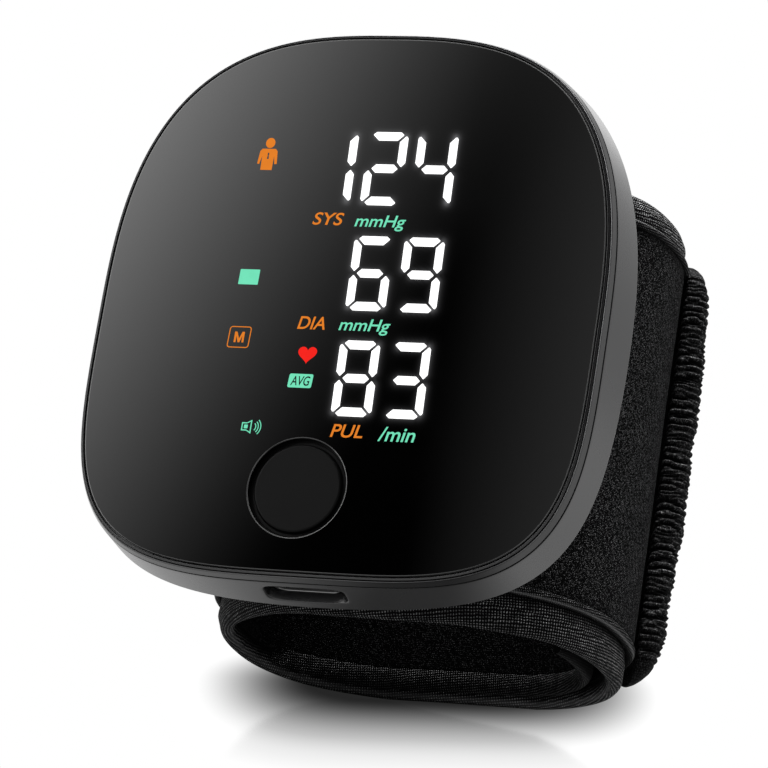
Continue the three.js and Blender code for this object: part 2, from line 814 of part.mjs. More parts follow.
function solenoidValve() {
  const z = heightAt(valveDepth);
  const left = valveX - valveLength / 2;
  const body = alongX(valveRadius, left, left + valveLength, valveY, z, middleSides);
  const port = alongY(nippleRadius, valveY, valvePortEnd, valvePortX, z, smallSides);
  const bore = alongX(valveBore, left - overrun, left + valveBoreDepth, valveY, z, smallSides);
  const outlet = alongY(nippleBore, valveY + valveRadius / 2, valvePortEnd + overrun,
    valvePortX, z, boreSides);
  return cut(join(body, port), bore, outlet);
}

// The plunger is made from the end face of the valve, along X.
function valvePlunger() {
  const tipEnd = -valveStroke - valveTipHeight - runGap;
  const stem = alongX(valvePlungerRadius, tipEnd + valveTipHeight / 2, tipEnd + valvePlungerLength,
    0, 0, smallSides);
  const tip = alongX(valveTipRadius, tipEnd, tipEnd + valveTipHeight, 0, 0, middleSides);
  return join(stem, tip);
}

// A hose pushed over two nipples: straight where it grips them, and bent between.
function hose(gripStart, start, startPull, endPull, end, gripEnd) {
  const at = (point) => new THREE.Vector3(...point);
  const path = new THREE.CurvePath();
  path.add(new THREE.LineCurve3(at(gripStart), at(start)));
  path.add(new THREE.CubicBezierCurve3(at(start), at(startPull), at(endPull), at(end)));
  path.add(new THREE.LineCurve3(at(end), at(gripEnd)));
  const ring = (radius) => {
    const loop = [];
    for (let i = 0; i < hoseSides; i += 1) {
      const angle = (i / hoseSides) * Math.PI * 2;
      loop.push(new THREE.Vector2(radius * Math.cos(angle), radius * Math.sin(angle)));
    }
    return loop;
  };
  const section = new THREE.Shape(ring(hoseRadius));
  section.holes.push(new THREE.Path(ring(hoseBore).reverse()));
  return new THREE.ExtrudeGeometry(section, { steps: hoseSteps, bevelEnabled: false, extrudePath: path });
}

const nozzleTop = floorDepth - filmGap - sealThickness - filmGap - nozzleFlangeThickness - nozzleBarbLength;

function cuffAirHose() {
  const grip = portX - nippleLength;
  const y = hosePortY[0];
  const z = heightAt(pumpDepth);
  const top = heightAt(nozzleTop);
  return hose(
    [nozzleX, nozzleY, top - hoseGrip],
    [nozzleX, nozzleY, top],
    [nozzleX, nozzleY, top + hoseRise],
    [grip - 2 * hoseRise, y, z],
    [grip, y, z],
    [grip + hoseGrip, y, z],
  );
}

function valveAirHose() {
  const grip = portX - nippleLength;
  const y = hosePortY[1];
  const z = heightAt(pumpDepth);
  const low = heightAt(valveDepth);
  return hose(
    [valvePortX, valvePortEnd - hoseGrip, low],
    [valvePortX, valvePortEnd, low],
    [valvePortX, valvePortEnd + hoseRise, low],
    [grip - hoseRise, y, z],
    [grip, y, z],
    [grip + hoseGrip, y, z],
  );
}

function airNozzle() {
  const flangeTop = nozzleTop + nozzleBarbLength;
  const flangeBottom = flangeTop + nozzleFlangeThickness;
  const bottom = wrapDepth - bladderOffset - filmGap;
  const profile = [
    [nippleBore, nozzleTop], [nippleRadius, nozzleTop], [nippleRadius, flangeTop],
    [nozzleFlangeRadius, flangeTop], [nozzleFlangeRadius, flangeBottom], [nozzleRadius, flangeBottom],
    [nozzleRadius, bottom], [nippleBore, bottom], [nippleBore, nozzleTop],
  ].map(([radius, depth]) => new THREE.Vector2(radius, -depth)).reverse();
  return new THREE.LatheGeometry(profile, middleSides).rotateX(Math.PI / 2);
}

function nozzleSeal() {
  const top = -(floorDepth - filmGap - sealThickness);
  const low = top - sealThickness;
  const ring = upright(nozzleFlangeRadius, low, top, 0, 0, middleSides);
  return cut(ring, upright(nozzleRadius + runGap, low - overrun, top + overrun, 0, 0, middleSides));
}

// Cuff parts.

function nozzleHoleTool() {
  return upright(nozzleRadius + nozzleHoleGap, ringDepth + bladderOffset, ringDepth + overrun,
    nozzleX, nozzleY, middleSides);
}

function outerWrap() {
  return cut(cuffRing(cuffLayer(0, wrapThickness, 0, 0)), nozzleHoleTool());
}

function wrapPiping(end) {
  const profile = [];
  for (let i = 0; i < pipingSides; i += 1) {
    const angle = (i / pipingSides) * Math.PI * 2;
    profile.push([pipingRadius * (Math.cos(angle) - 1), end,
      pipingRadius * (Math.sin(angle) - 1) - layerGap]);
  }
  return cuffRing(profile);
}

function edgeBinding(end) {
  const overhang = end === 'top' ? cuffOverhangTop : cuffOverhangBottom;
  return cuffRing(rolledEdge(coreOffset, bindingThickness, end, -overhang, overhang + bindingTuck));
}

const layerInset = bindingTuck + layerGap;

function cuffCore() {
  const profile = cuffLayer(coreOffset, coreThickness, layerInset, layerInset);
  return cut(cuffArc(coreStart, coreEnd, () => profile), nozzleHoleTool());
}

function airBladder() {
  const profile = cuffLayer(bladderOffset, bladderThickness, layerInset, layerInset);
  return cuffArc(bladderStart, bladderEnd, () => profile);
}

function cuffLining() {
  return cuffRing(cuffLayer(liningOffset, liningThickness, layerInset, layerInset));
}

function liningTail() {
  const bottomInset = tailRecess - cuffOverhangBottom;
  return cuffArc(tailStart, tailEnd, (share) => {
    const outer = tailOffset - tailLift * share * share;
    const lower = rolledEdge(outer, tailThickness, 'bottom', bottomInset, tailEdgeLength);
    const upper = rolledEdge(outer, tailThickness, 'top', tailRecess - cuffOverhangTop, tailEdgeLength);
    const half = bindingSides / 2;
    return [...lower.slice(half), ...lower.slice(0, 1), ...upper.slice(0, half + 1)];
  });
}

function hookPatch() {
  const topInset = strapTopDrop + hookMargin;
  const profile = cuffLayer(hookOffset + hookThickness, hookThickness, topInset, hookMargin - strapOverhang);
  const loops = [];
  for (let i = 0; i <= hookSteps; i += 1) {
    const from = strapStartDegrees + hookMarginDegrees;
    const degrees = from + (strapEndDegrees - hookMarginDegrees - from) * i / hookSteps;
    loops.push(profile.map(([offset, side, inset]) => cuffPoint(degrees, offset, side, inset)));
  }
  return bodyFromLoops(loops, false);
}

// One closed section of the strap end at a height along the cuff. Its size share rounds the ends.
function strapSection(y, thickness, sizeShare = 1) {
  const middle = (strapStartDegrees + strapEndDegrees) / 2;
  const half = (strapEndDegrees - strapStartDegrees) / 2;
  const loop = [];
  for (let i = 0; i < strapSides; i += 1) {
    const angle = ((i + 1 / 2) / strapSides) * Math.PI * 2;
    const reach = (Math.abs(Math.cos(angle)) ** strapRoundness
      + Math.abs(Math.sin(angle)) ** strapRoundness) ** (-1 / strapRoundness);
    const up = (1 + reach * Math.sin(angle)) / 2;
    const degrees = middle + half * sizeShare * reach * Math.cos(angle);
    const [x, z] = ringPoint(degrees, strapOffset + thickness * sizeShare * up);
    loop.push(new THREE.Vector3(x, y, z));
  }
  return loop;
}

// Smooth rounded ends, and between them evenly spaced ribs of gathered fabric.
function gatheredStrapEnd() {
  const loops = strapEndShares.map(([along, size]) => (
    strapSection(strapLowY + strapPlainEnd * along, strapThickness - ribDepth / 2, size)));
  const ribLength = (strapLength - 2 * strapPlainEnd) / strapRibs;
  for (let i = 0; i < strapRibs; i += 1) {
    const low = strapLowY + strapPlainEnd + i * ribLength;
    loops.push(strapSection(low + ribLength / 4, strapThickness - ribDepth));
    loops.push(strapSection(low + 3 * ribLength / 4, strapThickness));
  }
  strapEndShares.toReversed().forEach(([along, size]) => loops.push(
    strapSection(strapTopY - strapPlainEnd * along, strapThickness - ribDepth / 2, size)));
  return bodyFromLoops(loops, false);
}

// Materials.

const surface = (color, roughness, metalness = 0) => (
  new THREE.MeshStandardMaterial({ color, roughness, metalness }));
const finishes = {
  glass: surface(0x050506, 0.08),
  frame: surface(0x232325, 0.35),
  shell: surface(0x2c2d2f, 0.42),
  button: surface(0x141415, 0.5),
  whitePlastic: surface(0xd8d8d4, 0.5),
  blackPlastic: surface(0x1b1b1c, 0.55),
  board: surface(0x14502c, 0.55),
  chip: surface(0x101012, 0.4),
  nickel: surface(0xb8b8ba, 0.28, 1),
  steel: surface(0x8f9194, 0.35, 1),
  copper: surface(0xa2622e, 0.35, 1),
  brass: surface(0xb08d48, 0.35, 1),
  battery: surface(0x9aa0a6, 0.4, 0.3),
  silicone: surface(0xc9c6bf, 0.6),
  foam: surface(0x2b2b2d, 0.95),
  core: surface(0xe3e2dc, 0.5),
  bladder: surface(0x6e7780, 0.45),
  wrap: surface(0x1c1c1d, 0.95),
  tape: surface(0x242425, 0.85),
  lining: surface(0x0f0f10, 0.95),
  gathered: surface(0x1f1f20, 0.9),
  hook: surface(0x0c0c0d, 0.8),
};

// Assembly.

const monitor = new THREE.Group();

function add(parent, name, geometry, material, x = 0, y = 0, z = 0) {
  const mesh = new THREE.Mesh(geometry, material);
  mesh.name = name;
  mesh.position.set(x, y, z);
  parent.add(mesh);
}

const housing = new THREE.Group();
monitor.add(housing);
add(housing, 'front_glass', frontGlass(), finishes.glass);
add(housing, 'glass_gasket', glassGasket(), finishes.foam);
add(housing, 'front_frame', frontFrame(), finishes.frame);
add(housing, 'rear_shell', rearShell(), finishes.shell);
screwPlaces.forEach(([x, y], i) => {
  const z = heightAt(backDepth - counterboreDepth + screwHeadHeight + filmGap);
  add(housing, `housing_screw_${i + 1}`, housingScrew(), finishes.steel, x, y, z);
});
add(housing, 'start_button', startButton(), finishes.button, buttonX, buttonY, faceHeight);
add(housing, 'cuff_mount_plate', cuffMountPlate(), finishes.blackPlastic);

const electronics = new THREE.Group();
monitor.add(electronics);
add(electronics, 'main_board', mainBoard(), finishes.board);
add(electronics, 'display_module', displayModule(), finishes.whitePlastic);
add(electronics, 'switch_base', switchBase(), finishes.blackPlastic, buttonX, buttonY, heightAt(switchTop));
add(electronics, 'switch_plunger', switchPlunger(), finishes.brass, buttonX, buttonY, faceHeight);
add(electronics, 'controller_chip', new THREE.BoxGeometry(chipWidth, chipWidth, chipHeight), finishes.chip,
  0, 0, heightAt(boardBottom + filmGap + chipHeight / 2));
add(electronics, 'pressure_sensor', pressureSensor(), finishes.chip);
add(electronics, 'socket_shell', socketShell(), finishes.nickel);
add(electronics, 'socket_tongue', socketTongue(), finishes.blackPlastic);
add(electronics, 'speaker', speaker(), finishes.blackPlastic);
add(electronics, 'battery_foam', new THREE.BoxGeometry(batteryWidth, batteryLength, foamThickness),
  finishes.foam, batteryX, batteryY, heightAt(floorDepth - filmGap - foamThickness / 2));
add(electronics, 'battery_cell', new THREE.BoxGeometry(batteryWidth, batteryLength, batteryThickness),
  finishes.battery, batteryX, batteryY,
  heightAt(floorDepth - 2 * filmGap - foamThickness - batteryThickness / 2));

const airSystem = new THREE.Group();
monitor.add(airSystem);
add(airSystem, 'pump_motor_case', pumpMotorCase(), finishes.steel);
add(airSystem, 'pump_rotor', pumpRotor(), finishes.copper, pumpX, pumpY, heightAt(pumpDepth));
add(airSystem, 'pump_head', pumpHead(), finishes.whitePlastic);
add(airSystem, 'air_manifold', airManifold(), finishes.blackPlastic);
add(airSystem, 'solenoid_valve', solenoidValve(), finishes.steel);
add(airSystem, 'valve_plunger', valvePlunger(), finishes.brass, valveX - valveLength / 2, valveY,
  heightAt(valveDepth));
add(airSystem, 'cuff_air_hose', cuffAirHose(), finishes.silicone);
add(airSystem, 'valve_air_hose', valveAirHose(), finishes.silicone);
add(airSystem, 'air_nozzle', airNozzle(), finishes.whitePlastic, nozzleX, nozzleY, faceHeight);
add(airSystem, 'nozzle_seal', nozzleSeal(), finishes.silicone, nozzleX, nozzleY, faceHeight);

const cuff = new THREE.Group();
monitor.add(cuff);
add(cuff, 'outer_wrap', outerWrap(), finishes.wrap);
add(cuff, 'wrap_piping_top', wrapPiping('top'), finishes.tape);
add(cuff, 'wrap_piping_bottom', wrapPiping('bottom'), finishes.tape);
add(cuff, 'edge_binding_top', edgeBinding('top'), finishes.tape);
add(cuff, 'edge_binding_bottom', edgeBinding('bottom'), finishes.tape);
add(cuff, 'cuff_core', cuffCore(), finishes.core);
add(cuff, 'air_bladder', airBladder(), finishes.bladder);
add(cuff, 'cuff_lining', cuffLining(), finishes.lining);
add(cuff, 'lining_tail', liningTail(), finishes.tape);
add(cuff, 'hook_patch', hookPatch(), finishes.hook);
add(cuff, 'gathered_strap_end', gatheredStrapEnd(), finishes.gathered);

export default monitor;
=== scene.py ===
import math

import bmesh
import bpy
import numpy as np
from mathutils import Matrix, Vector
from mathutils.geometry import delaunay_2d_cdt, tessellate_polygon


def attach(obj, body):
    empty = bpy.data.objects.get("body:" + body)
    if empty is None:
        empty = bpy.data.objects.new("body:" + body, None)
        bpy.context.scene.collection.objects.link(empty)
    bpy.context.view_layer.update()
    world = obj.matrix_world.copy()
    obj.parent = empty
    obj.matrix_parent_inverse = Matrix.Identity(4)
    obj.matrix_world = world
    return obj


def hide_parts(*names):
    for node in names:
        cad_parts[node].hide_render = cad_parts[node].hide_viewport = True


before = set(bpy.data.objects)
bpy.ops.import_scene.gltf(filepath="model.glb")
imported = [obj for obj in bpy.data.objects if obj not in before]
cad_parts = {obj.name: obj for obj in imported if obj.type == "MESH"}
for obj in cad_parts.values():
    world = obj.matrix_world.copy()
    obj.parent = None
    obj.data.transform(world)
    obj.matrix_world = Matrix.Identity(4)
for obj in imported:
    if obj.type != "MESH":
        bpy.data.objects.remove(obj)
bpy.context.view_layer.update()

# Shapes are worked out in millimetres and become metres when a mesh is made. FACE is the height of
# the glass's front; depths are measured from it.
MM = 0.001
FACE = 55.28
FULL_TURN = 2 * math.pi


# ---------------------------------------------------------------- camera

CAMERA_ACROSS = Vector((0.93693, 0.15041, -0.31549))
CAMERA_BACK = Vector((0.34723, -0.29752, 0.88933)).normalized()
CAMERA_UP = CAMERA_BACK.cross(CAMERA_ACROSS).normalized()
CAMERA_PLACE = Vector((184.402, -163.272, 509.934)) * MM


def place_camera():
    """A long lens whose three axes are the columns of its matrix."""
    data = bpy.data.cameras.new("camera")
    data.sensor_width = 36
    data.lens = 188.39
    data.clip_start, data.clip_end = 0.01, 20
    camera = bpy.data.objects.new("camera", data)
    bpy.context.collection.objects.link(camera)
    axes = Matrix((CAMERA_UP.cross(CAMERA_BACK), CAMERA_UP, CAMERA_BACK)).transposed().to_4x4()
    camera.matrix_world = Matrix.Translation(CAMERA_PLACE) @ axes
    bpy.context.scene.camera = camera


place_camera()


# ---------------------------------------------------------------- making meshes

def grid_patch(points, uv=None, close_rows=False, close_columns=False):
    """Quads between neighbours on a grid of points; a closed side joins its last line to its first."""
    rows, columns = points.shape[:2]
    i, j = np.meshgrid(np.arange(rows - (not close_rows)), np.arange(columns - (not close_columns)),
                       indexing="ij")
    below, beside = (i + 1) % rows, (j + 1) % columns
    faces = np.stack([i * columns + j, i * columns + beside,
                      below * columns + beside, below * columns + j], -1).reshape(-1, 4)
    if uv is None:
        uv = np.zeros((rows + 1, columns + 1, 2))
    corners = np.stack([uv[i, j], uv[i, j + 1], uv[i + 1, j + 1], uv[i + 1, j]], 2).reshape(-1, 4, 2)
    return {"points": points.reshape(-1, 3), "faces": faces, "uv": corners}


def flat_patch(loops, height):
    """A flat face between an outer loop and the holes in it, cut into triangles."""
    triangles = np.array(tessellate_polygon([[Vector((x, y, 0)) for x, y in loop] for loop in loops]))
    flat = np.concatenate(loops)
    points = np.column_stack([flat, np.full(len(flat), height)])
    return {"points": points, "faces": triangles, "uv": flat[triangles]}


def pierced_patch(loops, inner, height_at):
    """A face between an outer loop and the holes in it, through loose points as well. The points are
    joined by a Delaunay triangulation, and each gets its height from its place."""
    flat = np.concatenate([*loops, inner])
    edges, start = [], 0
    for loop in loops:
        edges += [(start + k, start + (k + 1) % len(loop)) for k in range(len(loop))]
        start += len(loop)
    places, _, triangles, *_ = delaunay_2d_cdt([Vector(place) for place in flat], edges, [], 2, 1e-6)
    flat = np.array([tuple(place) for place in places])
    triangles = np.array([tuple(triangle) for triangle in triangles])
    points = np.column_stack([flat, height_at(flat)])
    return {"points": points, "faces": triangles, "uv": flat[triangles]}


def mesh_points(mesh):
    """The places of a mesh's points."""
    points = np.empty(len(mesh.vertices) * 3)
    mesh.vertices.foreach_get("co", points)
    return points.reshape(-1, 3)


def there_and_back(first, last, out, back):
    """Even steps from first to last and then from last to first."""
    return np.concatenate([np.linspace(first, last, out), np.linspace(last, first, back)])


def make_piece(name, patches, material, body, nodes=(), sharp=32, closed=True, values=None):
    """One mesh from its patches: edges that meet are merged, and faces are turned outwards."""
    points = np.concatenate([patch["points"] for patch in patches])
    faces, uvs, start = [], [], 0
    for patch in patches:
        faces += (patch["faces"] + start).tolist()
        uvs.append(patch["uv"].reshape(-1, 2))
        start += len(patch["points"])
    mesh = bpy.data.meshes.new(name)
    mesh.from_pydata(points * MM, [], faces)
    mesh.uv_layers.new(name="surface").data.foreach_set("uv", np.concatenate(uvs).ravel())
    for key, value in (values or {}).items():
        mesh.attributes.new(key, "FLOAT", "POINT").data.foreach_set("value", value)
    if closed:
        edit = bmesh.new()
        edit.from_mesh(mesh)
        bmesh.ops.remove_doubles(edit, verts=edit.verts, dist=2e-6)
        bmesh.ops.recalc_face_normals(edit, faces=edit.faces)
        edit.to_mesh(mesh)
        edit.free()
    mesh.shade_smooth()
    mesh.set_sharp_from_angle(angle=math.radians(sharp))
    mesh.materials.append(material)
    piece = bpy.data.objects.new(name, mesh)
    bpy.context.collection.objects.link(piece)
    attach(piece, body)
    if nodes:
        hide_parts(*nodes)
    return piece


# How far before and after a rounded corner its extra points lie, at most.
SUPPORT = 0.04


def rounded_profile(corners, steps=5):
    """A line through corners (offset, depth, radius). Each corner with a radius becomes an arc: points
    on the circle that touches both its sides, with one more point just before and after it."""
    corners = [tuple(corner) + (0,) * (3 - len(corner)) for corner in corners]
    line = []
    for k, (a, d, radius) in enumerate(corners):
        here = np.array([a, d], float)
        if not radius or k in (0, len(corners) - 1):
            line.append(here)
            continue
        before = np.array(corners[k - 1][:2]) - here
        after = np.array(corners[k + 1][:2]) - here
        reach_before, reach_after = np.linalg.norm(before), np.linalg.norm(after)
        before, after = before / reach_before, after / reach_after
        half = math.acos(np.clip(before @ after, -1, 1)) / 2
        along = min(radius / math.tan(half), 0.48 * reach_before, 0.48 * reach_after)
        radius = along * math.tan(half)
        middle = here + (before + after) / np.linalg.norm(before + after) * radius / math.sin(half)
        start, end = here + before * along, here + after * along
        line.append(start + before * min(SUPPORT, 0.02 * reach_before + 0.5 * SUPPORT))
        for share in np.linspace(0, 1, steps + 1):
            toward = (1 - share) * (start - middle) + share * (end - middle)
            line.append(middle + toward / np.linalg.norm(toward) * radius)
        line.append(end + after * min(SUPPORT, 0.02 * reach_after + 0.5 * SUPPORT))
    return np.array(line)


def full_circle(count):
    """Angles that are equally far apart all the way round."""
    return np.linspace(0, FULL_TURN, count, endpoint=False)


def superellipse_reach(angle, power, half=1.0, rise=1.0):
    """How far a superellipse of the given half width and rise reaches at an angle."""
    return (np.abs(np.cos(angle) / half) ** power + np.abs(np.sin(angle) / rise) ** power) ** (-1 / power)


def superellipse_slope(x, y, power, half, rise):
    """The outward normal of a superellipse at a place on it, and that normal's length."""
    slope_x = np.sign(x) * np.abs(x / half) ** (power - 1) / half
    slope_y = np.sign(y) * np.abs(y / rise) ** (power - 1) / rise
    return slope_x, slope_y, np.hypot(slope_x, slope_y)


def circle(x, y, radius, sides=48):
    """Points on a circle."""
    angle = full_circle(sides)
    return np.column_stack([x + radius * np.cos(angle), y + radius * np.sin(angle)])


def lathe(profile, x, y, sides):
    """A profile (radius, depth) carried round the line through (x, y) along Z."""
    angle = full_circle(sides)
    radius, depth = profile[:, :1], profile[:, 1:2]
    points = np.stack([x + radius * np.cos(angle), y + radius * np.sin(angle),
                       np.broadcast_to(FACE - depth, (len(profile), sides))], -1)
    run = np.concatenate([[0], np.cumsum(np.linalg.norm(np.diff(profile, axis=0), axis=1))])
    turn = np.linspace(0, FULL_TURN * profile[:, 0].max(), sides + 1)
    return grid_patch(points, np.stack(np.meshgrid(turn, run), -1), close_columns=True)


def waves(*terms):
    """A sum of sines: each term is (size, turn, phase) with turn an array of angles in radians."""
    return sum(size * np.sin(turn + phase) for size, turn, phase in terms)


# ---------------------------------------------------------------- housing shapes

# Half the housing's width, how far it reaches up and down from its widest line, where that line is,
# and the powers that round its upper and lower halves.
HOUSING_HALF, HOUSING_UP, HOUSING_DOWN, WIDEST_Y = 35.0, 40.4, 35.0, -2.7
UPPER_POWER, LOWER_POWER, CORNER_SHARE = 2.8, 3.8, 0.09


def housing_outline(turn, offset, swell=0.0):
    """The housing's outline: a superellipse 35 mm to the side, 40.4 mm up and 35 mm down from its
    widest line, rounder above than below, moved along its own normal by the offset. The swell is
    added on the sides and taken away at the corners."""
    angle = turn + CORNER_SHARE * np.sin(4 * turn)
    power = np.where(np.sin(angle) >= 0, UPPER_POWER, LOWER_POWER)
    rise = np.where(np.sin(angle) >= 0, HOUSING_UP, HOUSING_DOWN)
    reach = superellipse_reach(angle, power)
    x, y = HOUSING_HALF * reach * np.cos(angle), rise * reach * np.sin(angle)
    slope_x, slope_y, slope = superellipse_slope(x, y, power, HOUSING_HALF, rise)
    out = offset + swell * np.cos(4 * angle)
    return x + out * slope_x / slope, WIDEST_Y + y + out * slope_y / slope


def sweep_outline(profile, turns, closed=True):
    """A profile (offset, depth, swell) carried round the housing's outline."""
    profile = np.asarray(profile, float)
    if profile.shape[1] == 2:
        profile = np.column_stack([profile, np.zeros(len(profile))])
    x, y = housing_outline(turns[None, :], profile[:, :1], profile[:, 2:3])
    points = np.stack([x, y, np.broadcast_to(FACE - profile[:, 1:2], x.shape)], -1)
    run = np.concatenate([[0], np.cumsum(np.hypot(*np.diff(profile[:, :2], axis=0).T))])
    uv = np.stack(np.meshgrid(np.append(turns, turns[0] + FULL_TURN) * 36, run), -1)
    return grid_patch(points, uv, close_columns=closed)


EVEN_TURNS = full_circle(400)
BUTTON_X, BUTTON_Y, HOLE_RADIUS = -2.7, -25.5, 6.63
GLASS_INSET, GLASS_THICKNESS = -1.12, 0.7


def front_glass(material, glow_at):
    """Flat glass: rows run from the button's hole to the outline, each point on the straight line between the
    hole's circle and the outline, with small rounded edges at both ends. The rounded edges carry a painted
    highlight: the edge attribute marks them for a lighter colour."""
    turns = full_circle(600)
    hole = rounded_profile([(0, GLASS_THICKNESS), (0, 0.0, 0.16), (3, 0.0)], 4)[:-1]
    edge = rounded_profile([(-3, 0.0), (0, 0.0, 0.14), (0, GLASS_THICKNESS)], 4)[1:]
    rim_x, rim_y = housing_outline(turns, GLASS_INSET)
    angle = np.arctan2(rim_y - BUTTON_Y, rim_x - BUTTON_X)
    rows = []
    for out, depth in hole:
        radius = HOLE_RADIUS + out
        rows.append([BUTTON_X + radius * np.cos(angle), BUTTON_Y + radius * np.sin(angle), depth])
    inner_x, inner_y = rows[-1][:2]
    outer_x, outer_y = housing_outline(turns, GLASS_INSET + edge[0][0])
    for share in np.linspace(0, 1, 104)[1:-1]:
        rows.append([inner_x + (outer_x - inner_x) * share, inner_y + (outer_y - inner_y) * share, 0.0])
    for out, depth in edge:
        rows.append([*housing_outline(turns, GLASS_INSET + out), depth])
    points = np.array([np.stack(np.broadcast_arrays(x, y, FACE - depth), -1) for x, y, depth in rows])
    uv = points[..., :2]
    uv = np.concatenate([uv, uv[:, :1]], 1)
    uv = np.concatenate([uv, uv[:1]], 0)
    flat = points.reshape(-1, 3)
    lit = (flat[:, 2] > FACE - 0.01) * glow_at(flat[:, 0], flat[:, 1])
    # Painted highlight: the rounded rims of the hole and of the outline are marked for a lighter colour.
    ground = np.zeros(len(rows))
    ground[:len(hole)] = [0.8 * (0.004 < depth < 0.17) for _, depth in hole]
    ground[-len(edge):] = [-0.15 < out < 0.01 and 0.005 < depth < 0.2 for out, depth in edge]
    return make_piece("front_glass_face", [grid_patch(points, uv, close_rows=True, close_columns=True)],
                      material, "monitor", ["front_glass"],
                      values={"glow": lit, "edge": np.repeat(ground, len(turns))})


SCREWS = [(-17, 27), (17, 27), (-21, -22), (21, -22)]


def frame_ring(material):
    """The ring round the glass: a thin lip that slopes down to a groove, a bevel with a painted highlight,
    and a side that widens towards the seam; behind it a skirt, and a deck with four posts."""
    profile = rounded_profile([
        (-0.9, 1.0), (-0.9, 0.06, 0.06), (-0.62, 0.2, 0.03), (-0.61, 0.85, 0.02), (-0.52, 0.85, 0.02),
        (-0.51, 0.4, 0.03), (-0.43, 0.46, 0.02), (-0.34, 0.62, 0.05), (-0.06, 1.44, 0.1), (-0.04, 1.5, 0.03),
        (-1.7, 1.52, 0.1), (-1.8, 4.2), (-2.8, 4.2), (-2.8, 1.98), (-2.9, 0.98), (-0.9, 0.98)])
    ring = sweep_outline(profile, EVEN_TURNS)
    # The bevel is marked for a lighter colour: a painted highlight.
    bevel_highlight = (profile[:, 0] > -0.515) & (profile[:, 0] < -0.425) & (profile[:, 1] < 0.5)
    painted_bevel_marks = [np.repeat(bevel_highlight.astype(float), len(EVEN_TURNS))]
    outline = np.column_stack(housing_outline(EVEN_TURNS, -2.85))
    well = circle(BUTTON_X, BUTTON_Y, 7.6)
    deck = (1.02, 1.9)
    patches = [ring] + [flat_patch([outline, well[::-1]], FACE - depth) for depth in deck]
    for loop in (outline, well):
        wall = np.stack([np.column_stack([loop, np.full(len(loop), FACE - depth)]) for depth in deck])
        patches.append(grid_patch(wall, close_columns=True))
    for x, y in SCREWS:
        patches.append(lathe(np.array([(0, 1.9), (2.3, 1.9), (2.3, 3.9), (1.5, 3.9), (1.5, 8), (0.9, 8),
                                       (0.9, 4), (0, 4)]), x, y, 32))
    painted_bevel_marks += [np.zeros(len(patch["points"])) for patch in patches[1:]]
    return make_piece("front_frame_ring", patches, material, "monitor", ["front_frame"],
                      values={"edge": np.concatenate(painted_bevel_marks)})


# The shell's depths: the seam, the rear edge, the floor inside and the flat back; and how much it
# swells on the sides where it is widest.
SEAM, REAR_EDGE, INNER_FLOOR, BACK = 1.8, 7.3, 12.48, 13.78
SWELL = 0.45


def back_curve():
    """From the rear edge to the flat back: with b the share of the depth left, the share of the way
    in is 1 less (1 less b to the power 1.45) to the power 0.6."""
    back = np.sin(np.linspace(0, math.pi / 2, 26)) ** 0.9
    inward = 1 - (1 - np.minimum(back, 1) ** 1.45) ** 0.6
    return np.column_stack([1 - 9.5 * inward, REAR_EDGE + (BACK - REAR_EDGE) * back, SWELL * (1 - inward)])


def side_wall(depth):
    """How far the side stands out at a depth: a straight flare of 1 mm from the seam to the rear edge,
    and the swell in step with it."""
    flare = (depth - SEAM) / (REAR_EDGE - SEAM)
    return flare, SWELL * flare


def wall_points(turns, depths):
    """Places on the side wall."""
    x, y = housing_outline(turns, *side_wall(depths))
    return np.stack([x, y, FACE - depths], -1)


BOTTOM_TURNS = np.linspace(math.pi * 1.2, math.pi * 1.8, 4000)


def turn_at(x, offset):
    """The turn at which the bottom side, moved out by the offset, passes a place across. The outline
    itself gives a first turn, which is then corrected four times by how far the offset moves it."""
    across = housing_outline(BOTTOM_TURNS, 0.0)[0]
    found = np.interp(x, across, BOTTOM_TURNS)
    for _ in range(4):
        moved = housing_outline(found, offset)[0] - housing_outline(found, 0.0)[0]
        found = np.interp(x - moved, across, BOTTOM_TURNS)
    return found


# The charging slot: its middle, half its size, the radius of its lip, the end of its tunnel, and the
# points along its edge, across and down.
SLOT_X, SLOT_DEPTH, SLOT_HALF_X, SLOT_HALF_DEPTH, SLOT_LIP, SLOT_END = -0.85, 4.48, 5.5, 1.65, 0.22, -34.0
SLOT_ACROSS, SLOT_DOWN = 60, 20
# The part of the side wall round the slot, across and in depth.
WINDOW_X, WINDOW_DEPTHS = (-9.6, 7.9), (2.1, 6.95)


def slot_loop(grow):
    """The charging slot's edge: a superellipse of power 5 round its middle, met by rays towards the
    points of a rectangle, so that it joins the grid of the side wall round it."""
    across = np.concatenate([np.linspace(-1, 1, SLOT_ACROSS + 1)[:-1], np.ones(SLOT_DOWN),
                             np.linspace(1, -1, SLOT_ACROSS + 1)[:-1], -np.ones(SLOT_DOWN)])
    down = np.concatenate([-np.ones(SLOT_ACROSS), np.linspace(-1, 1, SLOT_DOWN + 1)[:-1],
                           np.ones(SLOT_ACROSS), np.linspace(1, -1, SLOT_DOWN + 1)[:-1]])
    x, depth = across * 7.5, down * 2.3
    reach = ((np.abs(x) / (SLOT_HALF_X + grow)) ** 5
             + (np.abs(depth) / (SLOT_HALF_DEPTH + grow)) ** 5) ** (-1 / 5)
    return SLOT_X + x * reach, SLOT_DEPTH + depth * reach


